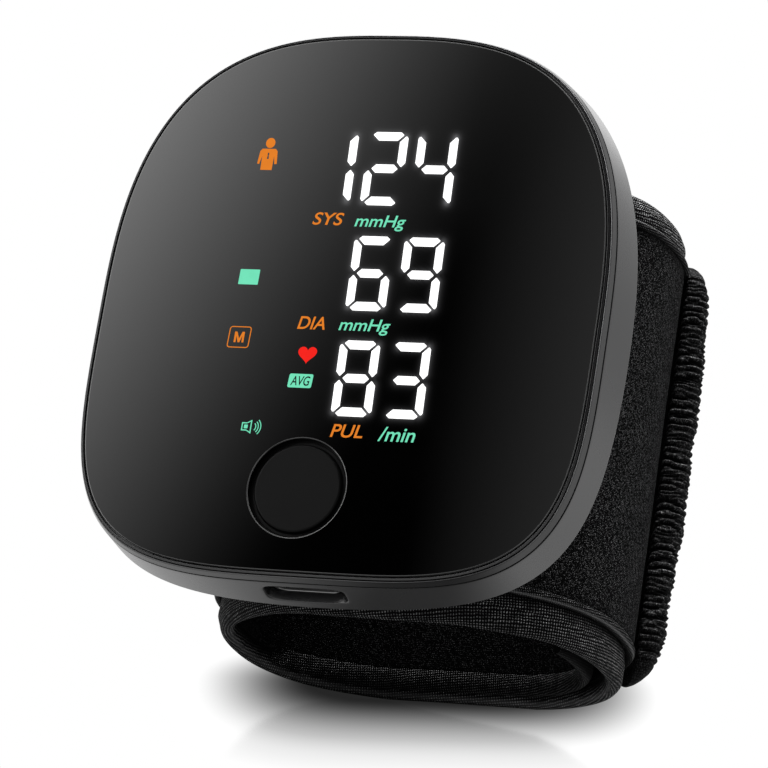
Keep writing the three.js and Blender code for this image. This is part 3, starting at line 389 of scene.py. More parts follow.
def slot_patch(turns, depths):
    """The slot in the side wall: rows go in straight lines from a rectangle on the wall to the slot's
    edge, round over its lip and along its tunnel, and close at the tunnel's end."""
    frame_turn = np.concatenate([turns[:-1], np.full(SLOT_DOWN, turns[-1]), turns[::-1][:-1],
                                 np.full(SLOT_DOWN, turns[0])])
    frame_depth = np.concatenate([np.full(SLOT_ACROSS, depths[0]), depths[:-1],
                                  np.full(SLOT_ACROSS, depths[-1]), depths[::-1][:-1]])
    x, edge_depth = slot_loop(SLOT_LIP)
    edge_turn = turn_at(x, side_wall(edge_depth)[0])
    rows = [wall_points(frame_turn + (edge_turn - frame_turn) * share,
                        frame_depth + (edge_depth - frame_depth) * share) for share in np.linspace(0, 1, 9)]
    edge_y = rows[-1][:, 1]
    for angle in np.radians([18, 36, 54, 72, 90]):
        x, depth = slot_loop(SLOT_LIP * (1 - math.sin(angle)))
        rows.append(np.stack([x, edge_y + SLOT_LIP * (1 - math.cos(angle)), FACE - depth], -1))
    for y in (-37.6, -37.0, SLOT_END):
        rows.append(np.stack([x, np.full_like(x, y), FACE - depth], -1))
    for size in (0.6, 0.2, 0.0):
        rows.append(np.stack([SLOT_X + (x - SLOT_X) * size, np.full_like(x, SLOT_END),
                              FACE - SLOT_DEPTH - (depth - SLOT_DEPTH) * size], -1))
    return grid_patch(np.array(rows), close_columns=True)


# Holes in the back, each with its radius and depth: four for screws, and seven that let sound out,
# one in the speaker's middle and six in a ring round it.
SCREW_HOLE, SOUND_HOLE = (1.9, 1.5), (0.6, 1.0)
SPEAKER_X, SPEAKER_Y, SOUND_RING = -1.5, 22.5, 2.4
HOLES = [(x, y, *SCREW_HOLE) for x, y in SCREWS] + [(SPEAKER_X, SPEAKER_Y, *SOUND_HOLE)]
HOLES += [(SPEAKER_X + SOUND_RING * math.cos(angle), SPEAKER_Y + SOUND_RING * math.sin(angle), *SOUND_HOLE)
          for angle in np.arange(6) * math.pi / 3]
HOLE_LIP = 0.15


def back_patches(turns, curve, last):
    """The back inside one row of its curve, joined through loose points that lie on the curve's other
    rows, and in each hole a quarter-round lip, a wall and a flat bottom."""
    rim_x, rim_y = housing_outline(np.linspace(0, FULL_TURN, 1500), 0.0)

    def back_height(places):
        """How high the back stands at some places, from how far inside the outline they lie."""
        away = np.hypot(places[:, :1] - rim_x, places[:, 1:2] - rim_y).min(1)
        return FACE - np.interp(away, -curve[:, 0], curve[:, 1])

    loops = [np.column_stack(housing_outline(turns, curve[last][0], curve[last][2]))]
    loose = np.concatenate([np.column_stack(housing_outline(turns[::3], out))
                            for out in (-6.3, -7.0, -7.7, -8.5, -10.5)])
    patches = []
    for x, y, radius, deep in HOLES:
        sides = 40 if radius > 1 else 20
        loop = circle(x, y, radius + HOLE_LIP, sides)
        height = back_height(loop)
        loops.append(loop)
        rows = [np.column_stack([loop, height])]
        for share in (0.3, 0.6, 0.85, 1.0):
            rows.append(np.column_stack([circle(x, y, radius + HOLE_LIP * (1 - share), sides),
                                         height + HOLE_LIP * (1 - math.sqrt(1 - share ** 2))]))
        for out in (radius, radius * 0.9, 0.0):
            rows.append(np.column_stack([circle(x, y, out, sides), np.full(sides, FACE - BACK + deep)]))
        patches.append(grid_patch(np.array(rows), close_columns=True))
        loose = loose[np.hypot(loose[:, 0] - x, loose[:, 1] - y) > radius + 0.5]
    patch = pierced_patch(loops, loose, back_height)
    patch["points"][:len(turns), 2] = FACE - curve[last][1]
    return patches + [patch]


def rear_shell(material):
    """The shell: its wall widens in a straight line from the seam to a crisp rear edge, then curves
    in to the flat back. The slot, the screw holes and the sound holes are cut into it and rounded."""
    low, high = turn_at(np.array(WINDOW_X), 0.5)
    inside = np.linspace(low, high, SLOT_ACROSS + 1)
    outside = np.linspace(high, low + FULL_TURN, 360)
    turns = np.concatenate([inside[:-1], outside[:-1]])
    depths = np.linspace(*WINDOW_DEPTHS, SLOT_DOWN + 1)
    curve = back_curve()
    last = int(np.argmax(curve[:, 0] < -5.6))

    rim = rounded_profile([(-1.6, REAR_EDGE), (-1.6, 1.84, 0.1), (0, 1.84, 0.06), (1, REAR_EDGE)], 4)[:-1]
    upper = [(-9.9, INNER_FLOOR, 0.0), (-3.0, 11.6, 0.0), (-1.6, 9.2, 0.0)]
    upper += [(out, depth, side_wall(max(depth, SEAM))[1] if out > -0.5 else 0.0)
              for out, depth in rim if depth < 2.0 or out < -0.5]
    middle = [(side_wall(depth)[0], depth, side_wall(depth)[1]) for depth in depths]
    edge = rounded_profile([(0.9, 6.8), (1.0, REAR_EDGE, 0.22), (curve[3][0], curve[3][1])], 5)
    lower = [middle[-1]] + [(out, depth, side_wall(min(depth, REAR_EDGE))[1]) for out, depth in edge[1:-1]]
    lower += [tuple(row) for row in curve[3:last + 1]]
    patches = [sweep_outline(upper + middle[:1], turns), sweep_outline(lower, turns),
               sweep_outline(middle, outside, closed=False), slot_patch(inside, depths)]
    patches += back_patches(turns, curve, last)
    patches.append(flat_patch([np.column_stack(housing_outline(turns, -9.9))], FACE - INNER_FLOOR))
    return make_piece("rear_shell_case", patches, material, "monitor", ["rear_shell"])


def socket_shell(material):
    """The charging socket's metal shell: a cup with half-round ends, 8.94 mm by 3.16 mm, whose front
    lip is rounded, open towards the slot and closed 7.4 mm further in."""
    turn = full_circle(96)
    lip = np.radians(np.linspace(0, 180, 9))
    radius = np.concatenate([[0.0, 1.2, 1.58], 1.46 + 0.12 * np.cos(lip), [1.34, 1.0, 0.0]])
    y = np.concatenate([[-30.1, -30.1, -30.1], -37.38 - 0.12 * np.sin(lip), [-30.4, -30.4, -30.4]])
    flat = np.where(radius > 0, 2.89, 0.0)[:, None] * np.clip(np.cos(turn) * 50, -1, 1)
    points = np.stack([SLOT_X + flat + radius[:, None] * np.cos(turn),
                       np.broadcast_to(y[:, None], flat.shape),
                       FACE - SLOT_DEPTH + radius[:, None] * np.sin(turn)], -1)
    return make_piece("socket_shell_cup", [grid_patch(points, close_columns=True)], material, "monitor",
                      ["socket_shell"])


def start_button(material):
    """A disc with a rounded edge, a groove round it and a flange below."""
    profile = rounded_profile([
        (0, 0.3), (5.85, 0.3, 0.3), (5.95, 0.95, 0.08), (6.35, 0.95, 0.05), (6.4, 1.02), (7.2, 1.02),
        (7.2, 1.7), (1.6, 1.7), (1.6, 2.4), (0, 2.4)], 6)
    return make_piece("start_button_disc", [lathe(profile, BUTTON_X, BUTTON_Y, 128)], material,
                      "start_button", ["start_button"])


# ---------------------------------------------------------------- lit display

# How much the digits lean, and the height that stays in place.
LEAN, LEAN_FROM = -0.0235, 3.8


def lean(points):
    """The marks of the display are moved across by a small share of their height."""
    points = np.asarray(points, float)
    return np.column_stack([points[:, 0] + LEAN * (points[:, 1] - LEAN_FROM), points[:, 1]])


# The parts of a digit about its middle: the bar at its top, the post at its upper right and the
# middle bar. The others are their mirror images.
BAR = np.array([(-1.7, 5.12), (1.7, 5.12), (2.1, 4.78), (2.08, 4.66), (1.3, 3.92), (-1.3, 3.92),
                (-2.08, 4.66), (-2.1, 4.78)])
POST = np.array([(2.5, 4.56), (2.6, 4.52), (2.76, 4.28), (2.76, 0.86), (2.27, 0.3), (2.17, 0.3),
                 (1.64, 0.9), (1.64, 3.76), (2.4, 4.54)])
MIDDLE = np.array([(-1.78, 0.04), (-1.22, 0.59), (1.22, 0.59), (1.78, 0.04), (1.78, -0.04), (1.22, -0.59),
                   (-1.22, -0.59), (-1.78, -0.04)])
SEGMENTS = {"top": BAR, "low": BAR * (1, -1), "middle": MIDDLE, "right_up": POST,
            "right_down": POST * (1, -1), "left_up": POST * (-1, 1), "left_down": POST * (-1, -1)}
DIGITS = {
    "1": ("right_up", "right_down"),
    "2": ("top", "right_up", "middle", "left_down", "low"),
    "3": ("top", "right_up", "middle", "right_down", "low"),
    "4": ("left_up", "middle", "right_up", "right_down"),
    "6": ("top", "left_up", "middle", "left_down", "right_down", "low"),
    "8": tuple(SEGMENTS),
    "9": ("top", "left_up", "right_up", "middle", "right_down", "low"),
}
# Each row's number and the place of its last digit.
READINGS = [("124", 9.47, 18.27), ("69", 9.47, 3.73), ("83", 9.5, -10.6)]
DIGIT_PITCH = 6.9


def lit_segments():
    """The corners of every lit segment: the last digit of a row stands at its x, the others each
    6.9 mm further left."""
    found = []
    for number, x, y in READINGS:
        for k, digit in enumerate(reversed(number)):
            found += [lean(SEGMENTS[part] + (x - DIGIT_PITCH * k, y)) for part in DIGITS[digit]]
    return found


# The reach of the light close to a segment and further off, and the share of the far light.
GLOW_NEAR, GLOW_FAR, FAR_SHARE = 0.75, 1.6, 0.05


def glow_at(x, y):
    """Light round the segments: for each one the distance to its long middle line is found. With d
    that distance as a share of a reach, the light is 1 over the square of 1 plus d squared. The
    near light is the highest of theirs, and each adds a small share of far light."""
    total = np.zeros_like(x)
    for corners in lit_segments():
        centre = corners.mean(0)
        spread = corners - centre
        wide = np.ptp(spread[:, 0]) > np.ptp(spread[:, 1])
        long, short = (0, 1) if wide else (1, 0)
        half = np.abs(spread[:, long]).max() - 0.6
        along = np.abs((x, y)[long] - centre[long]) - half
        aside = np.abs((x, y)[short] - centre[short])
        away = np.hypot(np.maximum(along, 0), aside)
        near = 1 / (1 + (away / GLOW_NEAR) ** 2) ** 2
        total = np.maximum(total, near) + FAR_SHARE / (1 + (away / GLOW_FAR) ** 2) ** 2
    return total


# How far marks and words stand proud of the glass.
MARK_RISE, WORD_RISE = 0.012, 0.016


def lit_marks(name, groups, material):
    """Thin flat marks, one filled face for each group of loops, all turned to the front."""
    patches = [flat_patch([np.asarray(loop) for loop in loops], FACE + MARK_RISE) for loops in groups]
    for patch in patches:
        corner = patch["points"][patch["faces"]]
        area = np.cross(corner[:, 1] - corner[:, 0], corner[:, 2] - corner[:, 0])[:, 2]
        patch["faces"][area < 0] = patch["faces"][area < 0][:, ::-1]
    return make_piece(name, patches, material, "monitor", closed=False)


def lettering(name, words, material):
    """Short words in Blender's own letters, slanted and thickened, then fitted to their height and
    width."""
    patches = []
    for text, x, y, height, width in words:
        curve = bpy.data.curves.new(name, "FONT")
        curve.body = text
        curve.shear = 0.2
        curve.offset = 0.011
        curve.align_x, curve.align_y = "CENTER", "CENTER"
        source = bpy.data.objects.new(name, curve)
        bpy.context.collection.objects.link(source)
        bpy.context.view_layer.update()
        mesh = bpy.data.meshes.new_from_object(source.evaluated_get(bpy.context.evaluated_depsgraph_get()))
        bpy.data.objects.remove(source)
        flat = mesh_points(mesh)[:, :2]
        low, high = flat.min(0), flat.max(0)
        flat = (flat - (low + high) / 2) * (np.array([width, height]) / (high - low)) + (x, y)
        mesh.calc_loop_triangles()
        faces = np.array([tuple(triangle.vertices) for triangle in mesh.loop_triangles])
        points = np.column_stack([flat, np.full(len(flat), FACE + WORD_RISE)])
        patches.append({"points": points, "faces": faces, "uv": flat[faces]})
    return make_piece(name, patches, material, "monitor", closed=False)


# ---------------------------------------------------------------- cuff shapes

# The ring's middle across, its depth between table and housing, half its size up and across, and the
# power that rounds it; then the wrap's upper end and its length.
RING_X, RING_DEPTH, RING_RISE, HALF_WIDTH, ROUNDNESS = 4.7, 39.4, 20.65, 27.5, 2.4
WRAP_TOP, WRAP_LENGTH = 21.2, 55.3


def ring_point(degrees, offset):
    """The cuff's section: a superellipse of power 2.4, 55 mm across, moved along its normal by the
    offset, and flattened on the table and under the housing."""
    angle = np.radians(degrees)
    reach = superellipse_reach(angle, ROUNDNESS, HALF_WIDTH, RING_RISE)
    x, z = reach * np.cos(angle), reach * np.sin(angle)
    slope_x, slope_z, slope = superellipse_slope(x, z, ROUNDNESS, HALF_WIDTH, RING_RISE)
    height = RING_RISE - 1 + z + offset * slope_z / slope
    return RING_X + x + offset * slope_x / slope, np.clip(height, -offset, RING_DEPTH + offset)


def lower_end(z):
    """The wrap's lower end is cut at a slant: 2 mm lower at the back than at the front."""
    return WRAP_TOP - WRAP_LENGTH + 2 * z / RING_DEPTH


def ring_run(degrees):
    """The length along the ring's section from its first angle, in millimetres."""
    fine = np.linspace(degrees.min(), degrees.max(), 4000)
    x, z = ring_point(fine, 0.0)
    run = np.concatenate([[0], np.cumsum(np.hypot(np.diff(x), np.diff(z)))])
    return np.interp(degrees, fine, run)


def even_degrees(start, end, count):
    """Angles that are equally far apart along the ring's section."""
    fine = np.linspace(start, end, 4000)
    run = ring_run(fine)
    return np.interp(np.linspace(0, run[-1], count), run, fine)


def cuff_tube(name, degrees, offset, share, inset, material, nodes, closed, values=None):
    """A band round the cuff. offset, share and inset are arrays (rows, angles): how far it stands out
    from the ring, how far along from the wrap's top end to its lower end, and millimetres past it.
    The lower end is fuller on the left: a millimetre more at 180 degrees, less by a squared cosine."""
    left = np.clip(-np.cos(np.radians(degrees)), 0, 1)[None, :] ** 2
    fuller = np.clip(share * 3 - 2, 0, 1) ** 2 * left
    x, z = ring_point(degrees[None, :], offset + 1.4 * fuller)
    y = WRAP_TOP + (lower_end(z) - WRAP_TOP) * share + inset
    points = np.stack([x, y, z], -1)
    around = ring_run(degrees)
    middle = len(degrees) // 2
    along = np.concatenate([[0], np.cumsum(np.linalg.norm(np.diff(points[:, middle], axis=0), axis=1))])
    step = np.linalg.norm(points[0, middle] - points[-1, middle])
    uv = np.stack(np.meshgrid(np.append(around, 2 * around[-1] - around[-2]),
                              np.append(along, along[-1] + step)), -1)
    patches = [grid_patch(points, uv, close_rows=True, close_columns=closed)]
    if not closed:
        for column in (0, -1):
            end = points[:, column]
            cap = np.stack([end, end * 0.5 + end.mean(0) * 0.5, np.repeat(end.mean(0)[None], len(end), 0)])
            patches.append(grid_patch(cap, close_columns=True))
    return make_piece(name, patches, material, "monitor", nodes, 50, values=values)


ALL_ROUND = even_degrees(-180, 180, 361)[:-1]
COLUMNS = len(ALL_ROUND)


def ripple(degrees, share, size):
    """Soft unevenness of sewn cloth: slow waves round the ring and along it."""
    turn = np.radians(degrees)
    return size * waves((0.5, 3 * turn + 2.0 * share, 0.4), (0.3, 7 * turn - 3.5 * share, 1.9),
                        (0.25, 11 * turn + 6.0 * share, 4.1), (0.2, 2 * turn + 9.0 * share, 2.7))


def outer_wrap(material):
    """The loop-faced wrap: outer and inner walls 1 mm apart, joined by rounded ends. Its edge
    attribute is below zero close to both ends, where the piping shades it."""
    outer, inner = 110, 60
    share = there_and_back(0.004, 0.996, outer, inner)
    offset = np.concatenate([np.full(outer, 0.0), np.full(inner, -1.0)])
    offset[[0, outer - 1]] = -0.28
    offset[[1, outer - 2]] = -0.02
    grid = np.broadcast_to(share[:, None], (outer + inner, COLUMNS))
    bend = ripple(ALL_ROUND[None, :], grid, 0.14) * (offset[:, None] > -0.5) * np.sin(math.pi * grid) ** 0.5
    dark = -0.9 * np.exp(-(np.minimum(share, 1 - share) * WRAP_LENGTH / 1.3) ** 2)
    return cuff_tube("outer_wrap_cloth", ALL_ROUND, offset[:, None] + np.minimum(bend, 0.1), grid, 0.0,
                     material, ["outer_wrap"], True, values={"edge": np.repeat(dark, COLUMNS)})


def rolled_band(name, end, outer, thickness, middle, length, material, nodes, uneven, count, line,
                grooves):
    """A rolled edge round one end of the cuff: a superellipse section of power 2.2, a little uneven as sewn
    tape is. Its edge attribute is high along a line at one angle of its section, a painted highlight, and
    below zero in the grooves on both its sides, a painted shade."""
    angle = full_circle(count)
    reach = superellipse_reach(angle, 2.2)
    offset = outer - thickness / 2 + thickness / 2 * reach * np.cos(angle)
    inset = middle + length / 2 * reach * np.sin(angle)
    grid = np.full((count, COLUMNS), float(end))
    bend = ripple(ALL_ROUND[None, :], inset[:, None] * 0.5, uneven)
    turn = np.arange(count) / count * 360
    # Painted highlight along one line of the section, and painted shade in the grooves beside it.
    painted_highlight_and_shade = np.exp(-((turn - line) / 12) ** 2)
    for place in grooves:
        painted_highlight_and_shade -= 1.1 * np.exp(-((turn - place) / 24) ** 2)
    return cuff_tube(name, ALL_ROUND, offset[:, None] + bend, grid, inset[:, None] + 0.6 * bend, material,
                     nodes, True, values={"edge": np.repeat(painted_highlight_and_shade, COLUMNS)})


def lining(material):
    """The cuff's inside: two walls 0.8 mm apart that reach past the wrap at both ends."""
    rows = 70
    share = there_and_back(0, 1, rows, rows)
    offset = np.concatenate([np.full(rows, -2.8), np.full(rows, -3.6)])
    inset = np.where(share > 0.5, -2.6, 1.4)
    grid = np.broadcast_to(share[:, None], (2 * rows, COLUMNS))
    bend = ripple(ALL_ROUND[None, :], grid, 0.15)
    return cuff_tube("cuff_lining_cloth", ALL_ROUND, offset[:, None] + bend, grid, inset[:, None], material,
                     ["cuff_lining"], True)


# The lining's tail: its angles, how far it has grown at each, and how far in its middle lies.
TAIL_ANGLES = even_degrees(196.4, 376.4, 220)
TAIL_GROWTH = np.sin(math.pi / 2 * np.clip((TAIL_ANGLES - TAIL_ANGLES[0]) / 34, 0, 1)) * 0.98 + 0.02
TAIL_MIDDLE = -3.35 - 0.9 * TAIL_GROWTH - 2.4 * ((TAIL_ANGLES - TAIL_ANGLES[0]) / 180) ** 2


def lining_tail(material):
    """The overlapping end of the cuff's inside. Its section is a long strip with half-round ends; the
    strip lifts from the lining with the square of its length, and it grows from nothing to its full
    thickness over the first 34 degrees."""
    rows = 60
    turn = np.linspace(math.pi / 2, -math.pi / 2, 14)
    flat = np.linspace(0.06, 0.94, rows)
    depth = np.concatenate([np.ones(rows), np.sin(turn), -np.ones(rows), np.sin(turn[::-1])])
    share = np.concatenate([flat, np.ones(len(turn)), flat[::-1], np.zeros(len(turn))])
    inset = np.concatenate([np.zeros(rows), -1.0 - 1.0 * np.cos(turn), np.zeros(rows),
                            0.9 + 1.1 * np.cos(turn)])
    offset = TAIL_MIDDLE + depth[:, None] * 0.62 * TAIL_GROWTH
    offset = offset + ripple(TAIL_ANGLES[None, :], share[:, None], 0.12)
    return cuff_tube("lining_tail_pad", TAIL_ANGLES, offset, np.broadcast_to(share[:, None], offset.shape),
                     inset[:, None], material, ["lining_tail"], False)


def tail_rim(material):
    """The tape round the tail's lower end: an oval section, 1.7 mm by 3.4 mm, that grows with the tail. Its
    edge attribute is high along one line, a painted highlight, and below zero along another, a painted shade."""
    count = 32
    turn = full_circle(count)[:, None]
    offset = TAIL_MIDDLE + 0.1 + 0.85 * np.cos(turn) * TAIL_GROWTH
    offset = offset + ripple(TAIL_ANGLES[None, :], 1.0, 0.12)
    inset = np.broadcast_to(-2.6 + 1.7 * np.sin(turn), offset.shape)
    degrees = np.degrees(turn)
    # Painted highlight along one line of the section and painted shade along another.
    line = np.exp(-((degrees - 215) / 20) ** 2) - 1.1 * np.exp(-((degrees - 325) / 40) ** 2)
    values = {"edge": np.concatenate([np.repeat(line, len(TAIL_ANGLES)), np.zeros(6 * count)])}
    return cuff_tube("lining_tail_rim", TAIL_ANGLES, offset, np.ones(offset.shape), inset, material,
                     (), False, values=values)


def air_bladder(material):
    """The bladder: two sheets 0.6 mm apart, most of the way round, that meet in a weld at both ends."""
    degrees = even_degrees(-32, 163, 150)
    rows = 60
    share = there_and_back(0, 1, rows, rows)
    side = np.repeat([1.0, -1.0], rows)
    offset = -2.3 + 0.29 * side * (1 - 0.9 * np.abs(2 * share - 1) ** 14)
    inset = np.where(share > 0.5, 1.4, -1.2)
    grid = np.broadcast_to(share[:, None], (2 * rows, len(degrees)))
    return cuff_tube("air_bladder_sheets", degrees, np.broadcast_to(offset[:, None], grid.shape), grid,
                     inset[:, None], material, ["air_bladder"], False)


def battery_pad(material):
    """The foam under the battery: a block 17 mm by 30 mm by 0.6 mm. Its outline is a superellipse of
    power 12 and its edge is half round."""
    x, y, z, half, rise, round_edge = -15.5, 0.5, 43.14, 8.5, 15, 0.3
    turn = full_circle(120)
    reach = superellipse_reach(turn, 12)
    bend = np.linspace(-math.pi / 2, math.pi / 2, 9)
    inward = np.concatenate([[half], round_edge * (1 - np.cos(bend)), [half]])
    height = np.concatenate([[-round_edge], round_edge * np.sin(bend), [round_edge]])
    across = (half - inward)[:, None] * reach * np.cos(turn)
    along = (rise - inward * np.where(inward > 1, rise / half, 1))[:, None] * reach * np.sin(turn)
    points = np.stack([x + across, y + along, np.broadcast_to((z + height)[:, None], along.shape)], -1)
    return make_piece("battery_foam_pad", [grid_patch(points, close_columns=True)], material, "monitor",
                      ["battery_foam"])


def gathered_strap(material):
    """The strap's padded end: a superellipse section across, from one ring angle to the other. Along
    it the cloth is drawn into ribs: a cosine with one rib in 1.15 mm, whose place wanders across the
    strap and whose height comes and goes, so that ribs run together. Both ends are smooth."""
    along, around, length, lower = 620, 96, 59.6, -36.5
    middle, half = -24.5, 11.5
    y = np.linspace(0, 1, along)[:, None]
    angle = full_circle(around)[None, :]
    mm = y * length
    end = np.minimum(mm, length - mm)
    size = np.interp(end, [0, 0.2, 0.5, 1.0, 1.8, 3.0, 4.6, 6.5],
                     [0.05, 0.32, 0.46, 0.6, 0.75, 0.88, 0.96, 1.0])
    reach = superellipse_reach(angle, np.where(np.sin(angle) > 0, 2.6, 7.0))
    across, up = reach * np.cos(angle), reach * np.sin(angle)
    wander = waves((1.2, 1.3 * mm / 4 + 2.4 * across, 0.3), (1.0, 0.9 * mm / 2.2 - 3.6 * across, 1.7),
                   (0.8, 1.5 * mm + 5.2 * across, 4.4), (0.6, 2.3 * mm - 6.4 * across, 0.9),
                   (0.9, 3.1 * up + 0.21 * mm, 0.8))
    rib = np.cos(FULL_TURN * mm / 1.15 + wander)
    second = np.cos(FULL_TURN * mm / 0.71 - 1.9 * wander + 4.1 * across)
    strength = 0.72 + 0.34 * waves((1, 0.9 * mm + 3.6 * across, 2.2), (0.8, 2.1 * mm - 5.1 * across, 0.2))
    strength = np.clip(strength, 0.15, 1.3)
    gather = np.clip((end - 2.6) / 1.4, 0, 1)
    crease = np.abs(rib) ** 0.7 * np.sign(rib)
    relief = gather * (0.27 * strength * (crease - 1) + 0.13 * (second - 1))
    seam = -0.25 * np.exp(-((end - 2.9) / 0.25) ** 2)
    thick = 3.55 + 0.9 * np.sin(math.pi * y) ** 0.8 + relief + seam
    thick = (thick + 0.10 * waves((1, 0.33 * mm, 0.5), (0.7, 0.81 * mm + across, 2))) * size ** 1.4
    degrees = middle + (half * size + 1.9 * (relief + seam)) * across
    x, z = ring_point(degrees, 0.45 + thick * (1 + up) / 2)
    points = np.stack([x, np.broadcast_to(lower + mm, x.shape), z], -1)
    edge = ring_run(np.linspace(middle - half, -15.5, 9))[-1]
    uv = np.stack(np.meshgrid(np.linspace(0, 2.6 * edge, around + 1), np.append(mm[:, 0], length)), -1)
    patches = [grid_patch(points, uv, close_columns=True)]
    for row in (0, -1):
        centre = np.repeat(points[row].mean(0)[None], around, 0)
        patches.append(grid_patch(np.stack([points[row], centre]), close_columns=True))
    # Painted light on the ribs: lighter on their crests, a painted highlight, and darker in the hollows, a
    # painted shade.
    painted_fold_light = 0.5 + 0.5 * gather * (0.7 * crease + 0.3 * second) * strength + 0 * across
    values = {"painted_fold_light": np.concatenate([np.clip(painted_fold_light, 0, 1).ravel(), np.zeros(4 * around)])}
    return make_piece("gathered_strap_pad", patches, material, "strap_end",
                      ["gathered_strap_end"], 60, values=values)


def hook_patch(material):
    """The strip of hooks under the strap: the ring's section between two offsets and two angles."""
    degrees = np.linspace(-33.5, -18, 40)
    upper, lower = 18.1, -33.9
    rows = np.array([(0.5, 0.0), (0.5, 1.0), (0.12, 1.0), (0.12, 0.0)])
    x, z = ring_point(degrees[None, :], rows[:, :1])
    points = np.stack([x, upper + (lower - upper) * rows[:, 1:2] + 0 * x, z], -1)
    uv = np.stack(np.meshgrid(np.linspace(0, 8, len(degrees) + 1), [0, 52, 52.5, 104, 104.5]), -1)
    patches = [grid_patch(points, uv, close_rows=True)]
    for column in (0, -1):
        patches.append(grid_patch(np.stack([points[:2, column], points[[3, 2], column]])))
    return make_piece("hook_patch_cloth", patches, material, "strap_end", ["hook_patch"])


# ---------------------------------------------------------------- finishes

def number_group(name, outputs, **inputs):
    """A shader group whose inputs and outputs are all numbers."""
    tree = bpy.data.node_groups.new(name, "ShaderNodeTree")
    for label, value in inputs.items():
        socket = tree.interface.new_socket(label, in_out="INPUT", socket_type="NodeSocketFloat")
        socket.default_value = value
    for label in outputs:
        tree.interface.new_socket(label, in_out="OUTPUT", socket_type="NodeSocketFloat")
    return tree, tree.nodes.new("NodeGroupInput").outputs, tree.nodes.new("NodeGroupOutput").inputs


def feed(tree, sockets, **values):
    """Outputs of nodes linked to the sockets they are named after."""
    for label, value in values.items():
        tree.links.new(value, sockets[label.replace("_", " ")])


def math_node(tree, operation, *values):
    """A sum or other operation on numbers, each one fixed or the output of another node."""
    node = tree.nodes.new("ShaderNodeMath")
    node.operation = operation
    for socket, value in zip(node.inputs, values):
        if isinstance(value, (int, float)):
            socket.default_value = value
        else:
            tree.links.new(value, socket)
    return node.outputs[0]


def product(tree, first, *others):
    """Numbers multiplied one after another."""
    for value in others:
        first = math_node(tree, "MULTIPLY", first, value)
    return first


def noise_node(tree, vector, scale, detail=2.0, roughness=0.5):
    """A noise between 0 and 1 at a place."""
    node = tree.nodes.new("ShaderNodeTexNoise")
    for label, value in (("Scale", scale), ("Detail", detail), ("Roughness", roughness)):
        node.inputs[label].default_value = value
    tree.links.new(vector, node.inputs["Vector"])
    return node.outputs["Fac"]


def range_node(tree, value, low, high, first=0.0, last=1.0, way="LINEAR"):
    """The value's way from low to high turned into a way from first to last, straight or eased."""
    node = tree.nodes.new("ShaderNodeMapRange")
    node.interpolation_type = way
    for k, number in enumerate((low, high, first, last)):
        node.inputs[k + 1].default_value = number
    tree.links.new(value, node.inputs[0])
    return node.outputs[0]


def dot_node(tree, vector, direction):
    """How far a place or direction reaches along a fixed one."""
    node = tree.nodes.new("ShaderNodeVectorMath")
    node.operation = "DOT_PRODUCT"
    node.inputs[1].default_value = direction
    tree.links.new(vector, node.inputs[0])
    return node.outputs["Value"]


def cell_node(tree, vector, randomness):
    """Cells of size 1: the distance to the nearest cell's middle, and that cell's own colour."""
    node = tree.nodes.new("ShaderNodeTexVoronoi")
    node.inputs["Scale"].default_value = 1.0
    node.inputs["Randomness"].default_value = randomness
    tree.links.new(vector, node.inputs["Vector"])
    return node.outputs["Distance"], node.outputs["Color"]


def object_place(tree):
    """Object coordinates."""
    return tree.nodes.new("ShaderNodeTexCoord").outputs["Object"]


def own_map(tree):
    """The piece's own map in millimetres."""
    node = tree.nodes.new("ShaderNodeUVMap")
    node.uv_map = "surface"
    return node.outputs[0]


def attribute_value(tree, name):
    """A number that the piece's mesh carries at each of its points."""
    node = tree.nodes.new("ShaderNodeAttribute")
    node.attribute_name = name
    return node.outputs["Fac"]


def split_node(tree, kind, value):
    """The parts of a place or of a colour."""
    node = tree.nodes.new(kind)
    tree.links.new(value, node.inputs[0])
    return node.outputs


def make_moulded_grain():
    """Fine moulding grain on Object coordinates, and a slow drift of gloss."""
    tree, _, out = number_group("moulded_grain", ["Height", "Gloss"])
    place = object_place(tree)
    broad = noise_node(tree, place, 55.0, 3.0)
    feed(tree, out, Height=noise_node(tree, place, 5200.0),
         Gloss=range_node(tree, broad, 0.3, 0.7, -1.0, 1.0))
    return tree


def make_loop_cloth():
    """Knitted loop cloth on the piece's own map: one small cell for each loop, bright at its middle,
    each with its own brightness, over a faint slanting rib."""
    tree, inside, out = number_group("loop_cloth", ["Height", "Light"], Stitch=3.0)
    place = own_map(tree)
    grown = tree.nodes.new("ShaderNodeVectorMath")
    grown.operation = "SCALE"
    tree.links.new(place, grown.inputs[0])
    tree.links.new(inside["Stitch"], grown.inputs["Scale"])
    away, colour = cell_node(tree, grown.outputs[0], 0.55)
    patches = noise_node(tree, place, 0.3, 3.0, 0.6)
    across, along, _ = split_node(tree, "ShaderNodeSeparateXYZ", place)
    own = split_node(tree, "ShaderNodeSeparateColor", colour)
    slant = math_node(tree, "MULTIPLY_ADD", along, 3.2, product(tree, across, 4.4))
    slant = math_node(tree, "SINE", math_node(tree, "MULTIPLY_ADD", patches, 4.0, slant))
    tip = range_node(tree, away, 0.5, 0.1)
    light = product(tree, tip, range_node(tree, own[0], 0.1, 0.9, 0.45, 1.0),
                    range_node(tree, patches, 0.3, 0.7, 0.85, 1.12),
                    range_node(tree, slant, -1.0, 1.0, 0.6, 1.25))
    height = product(tree, tip, range_node(tree, own[1], 0, 1, 0.5, 1.0))
    feed(tree, out, Height=math_node(tree, "MULTIPLY_ADD", slant, 0.08, height), Light=light)
    return tree


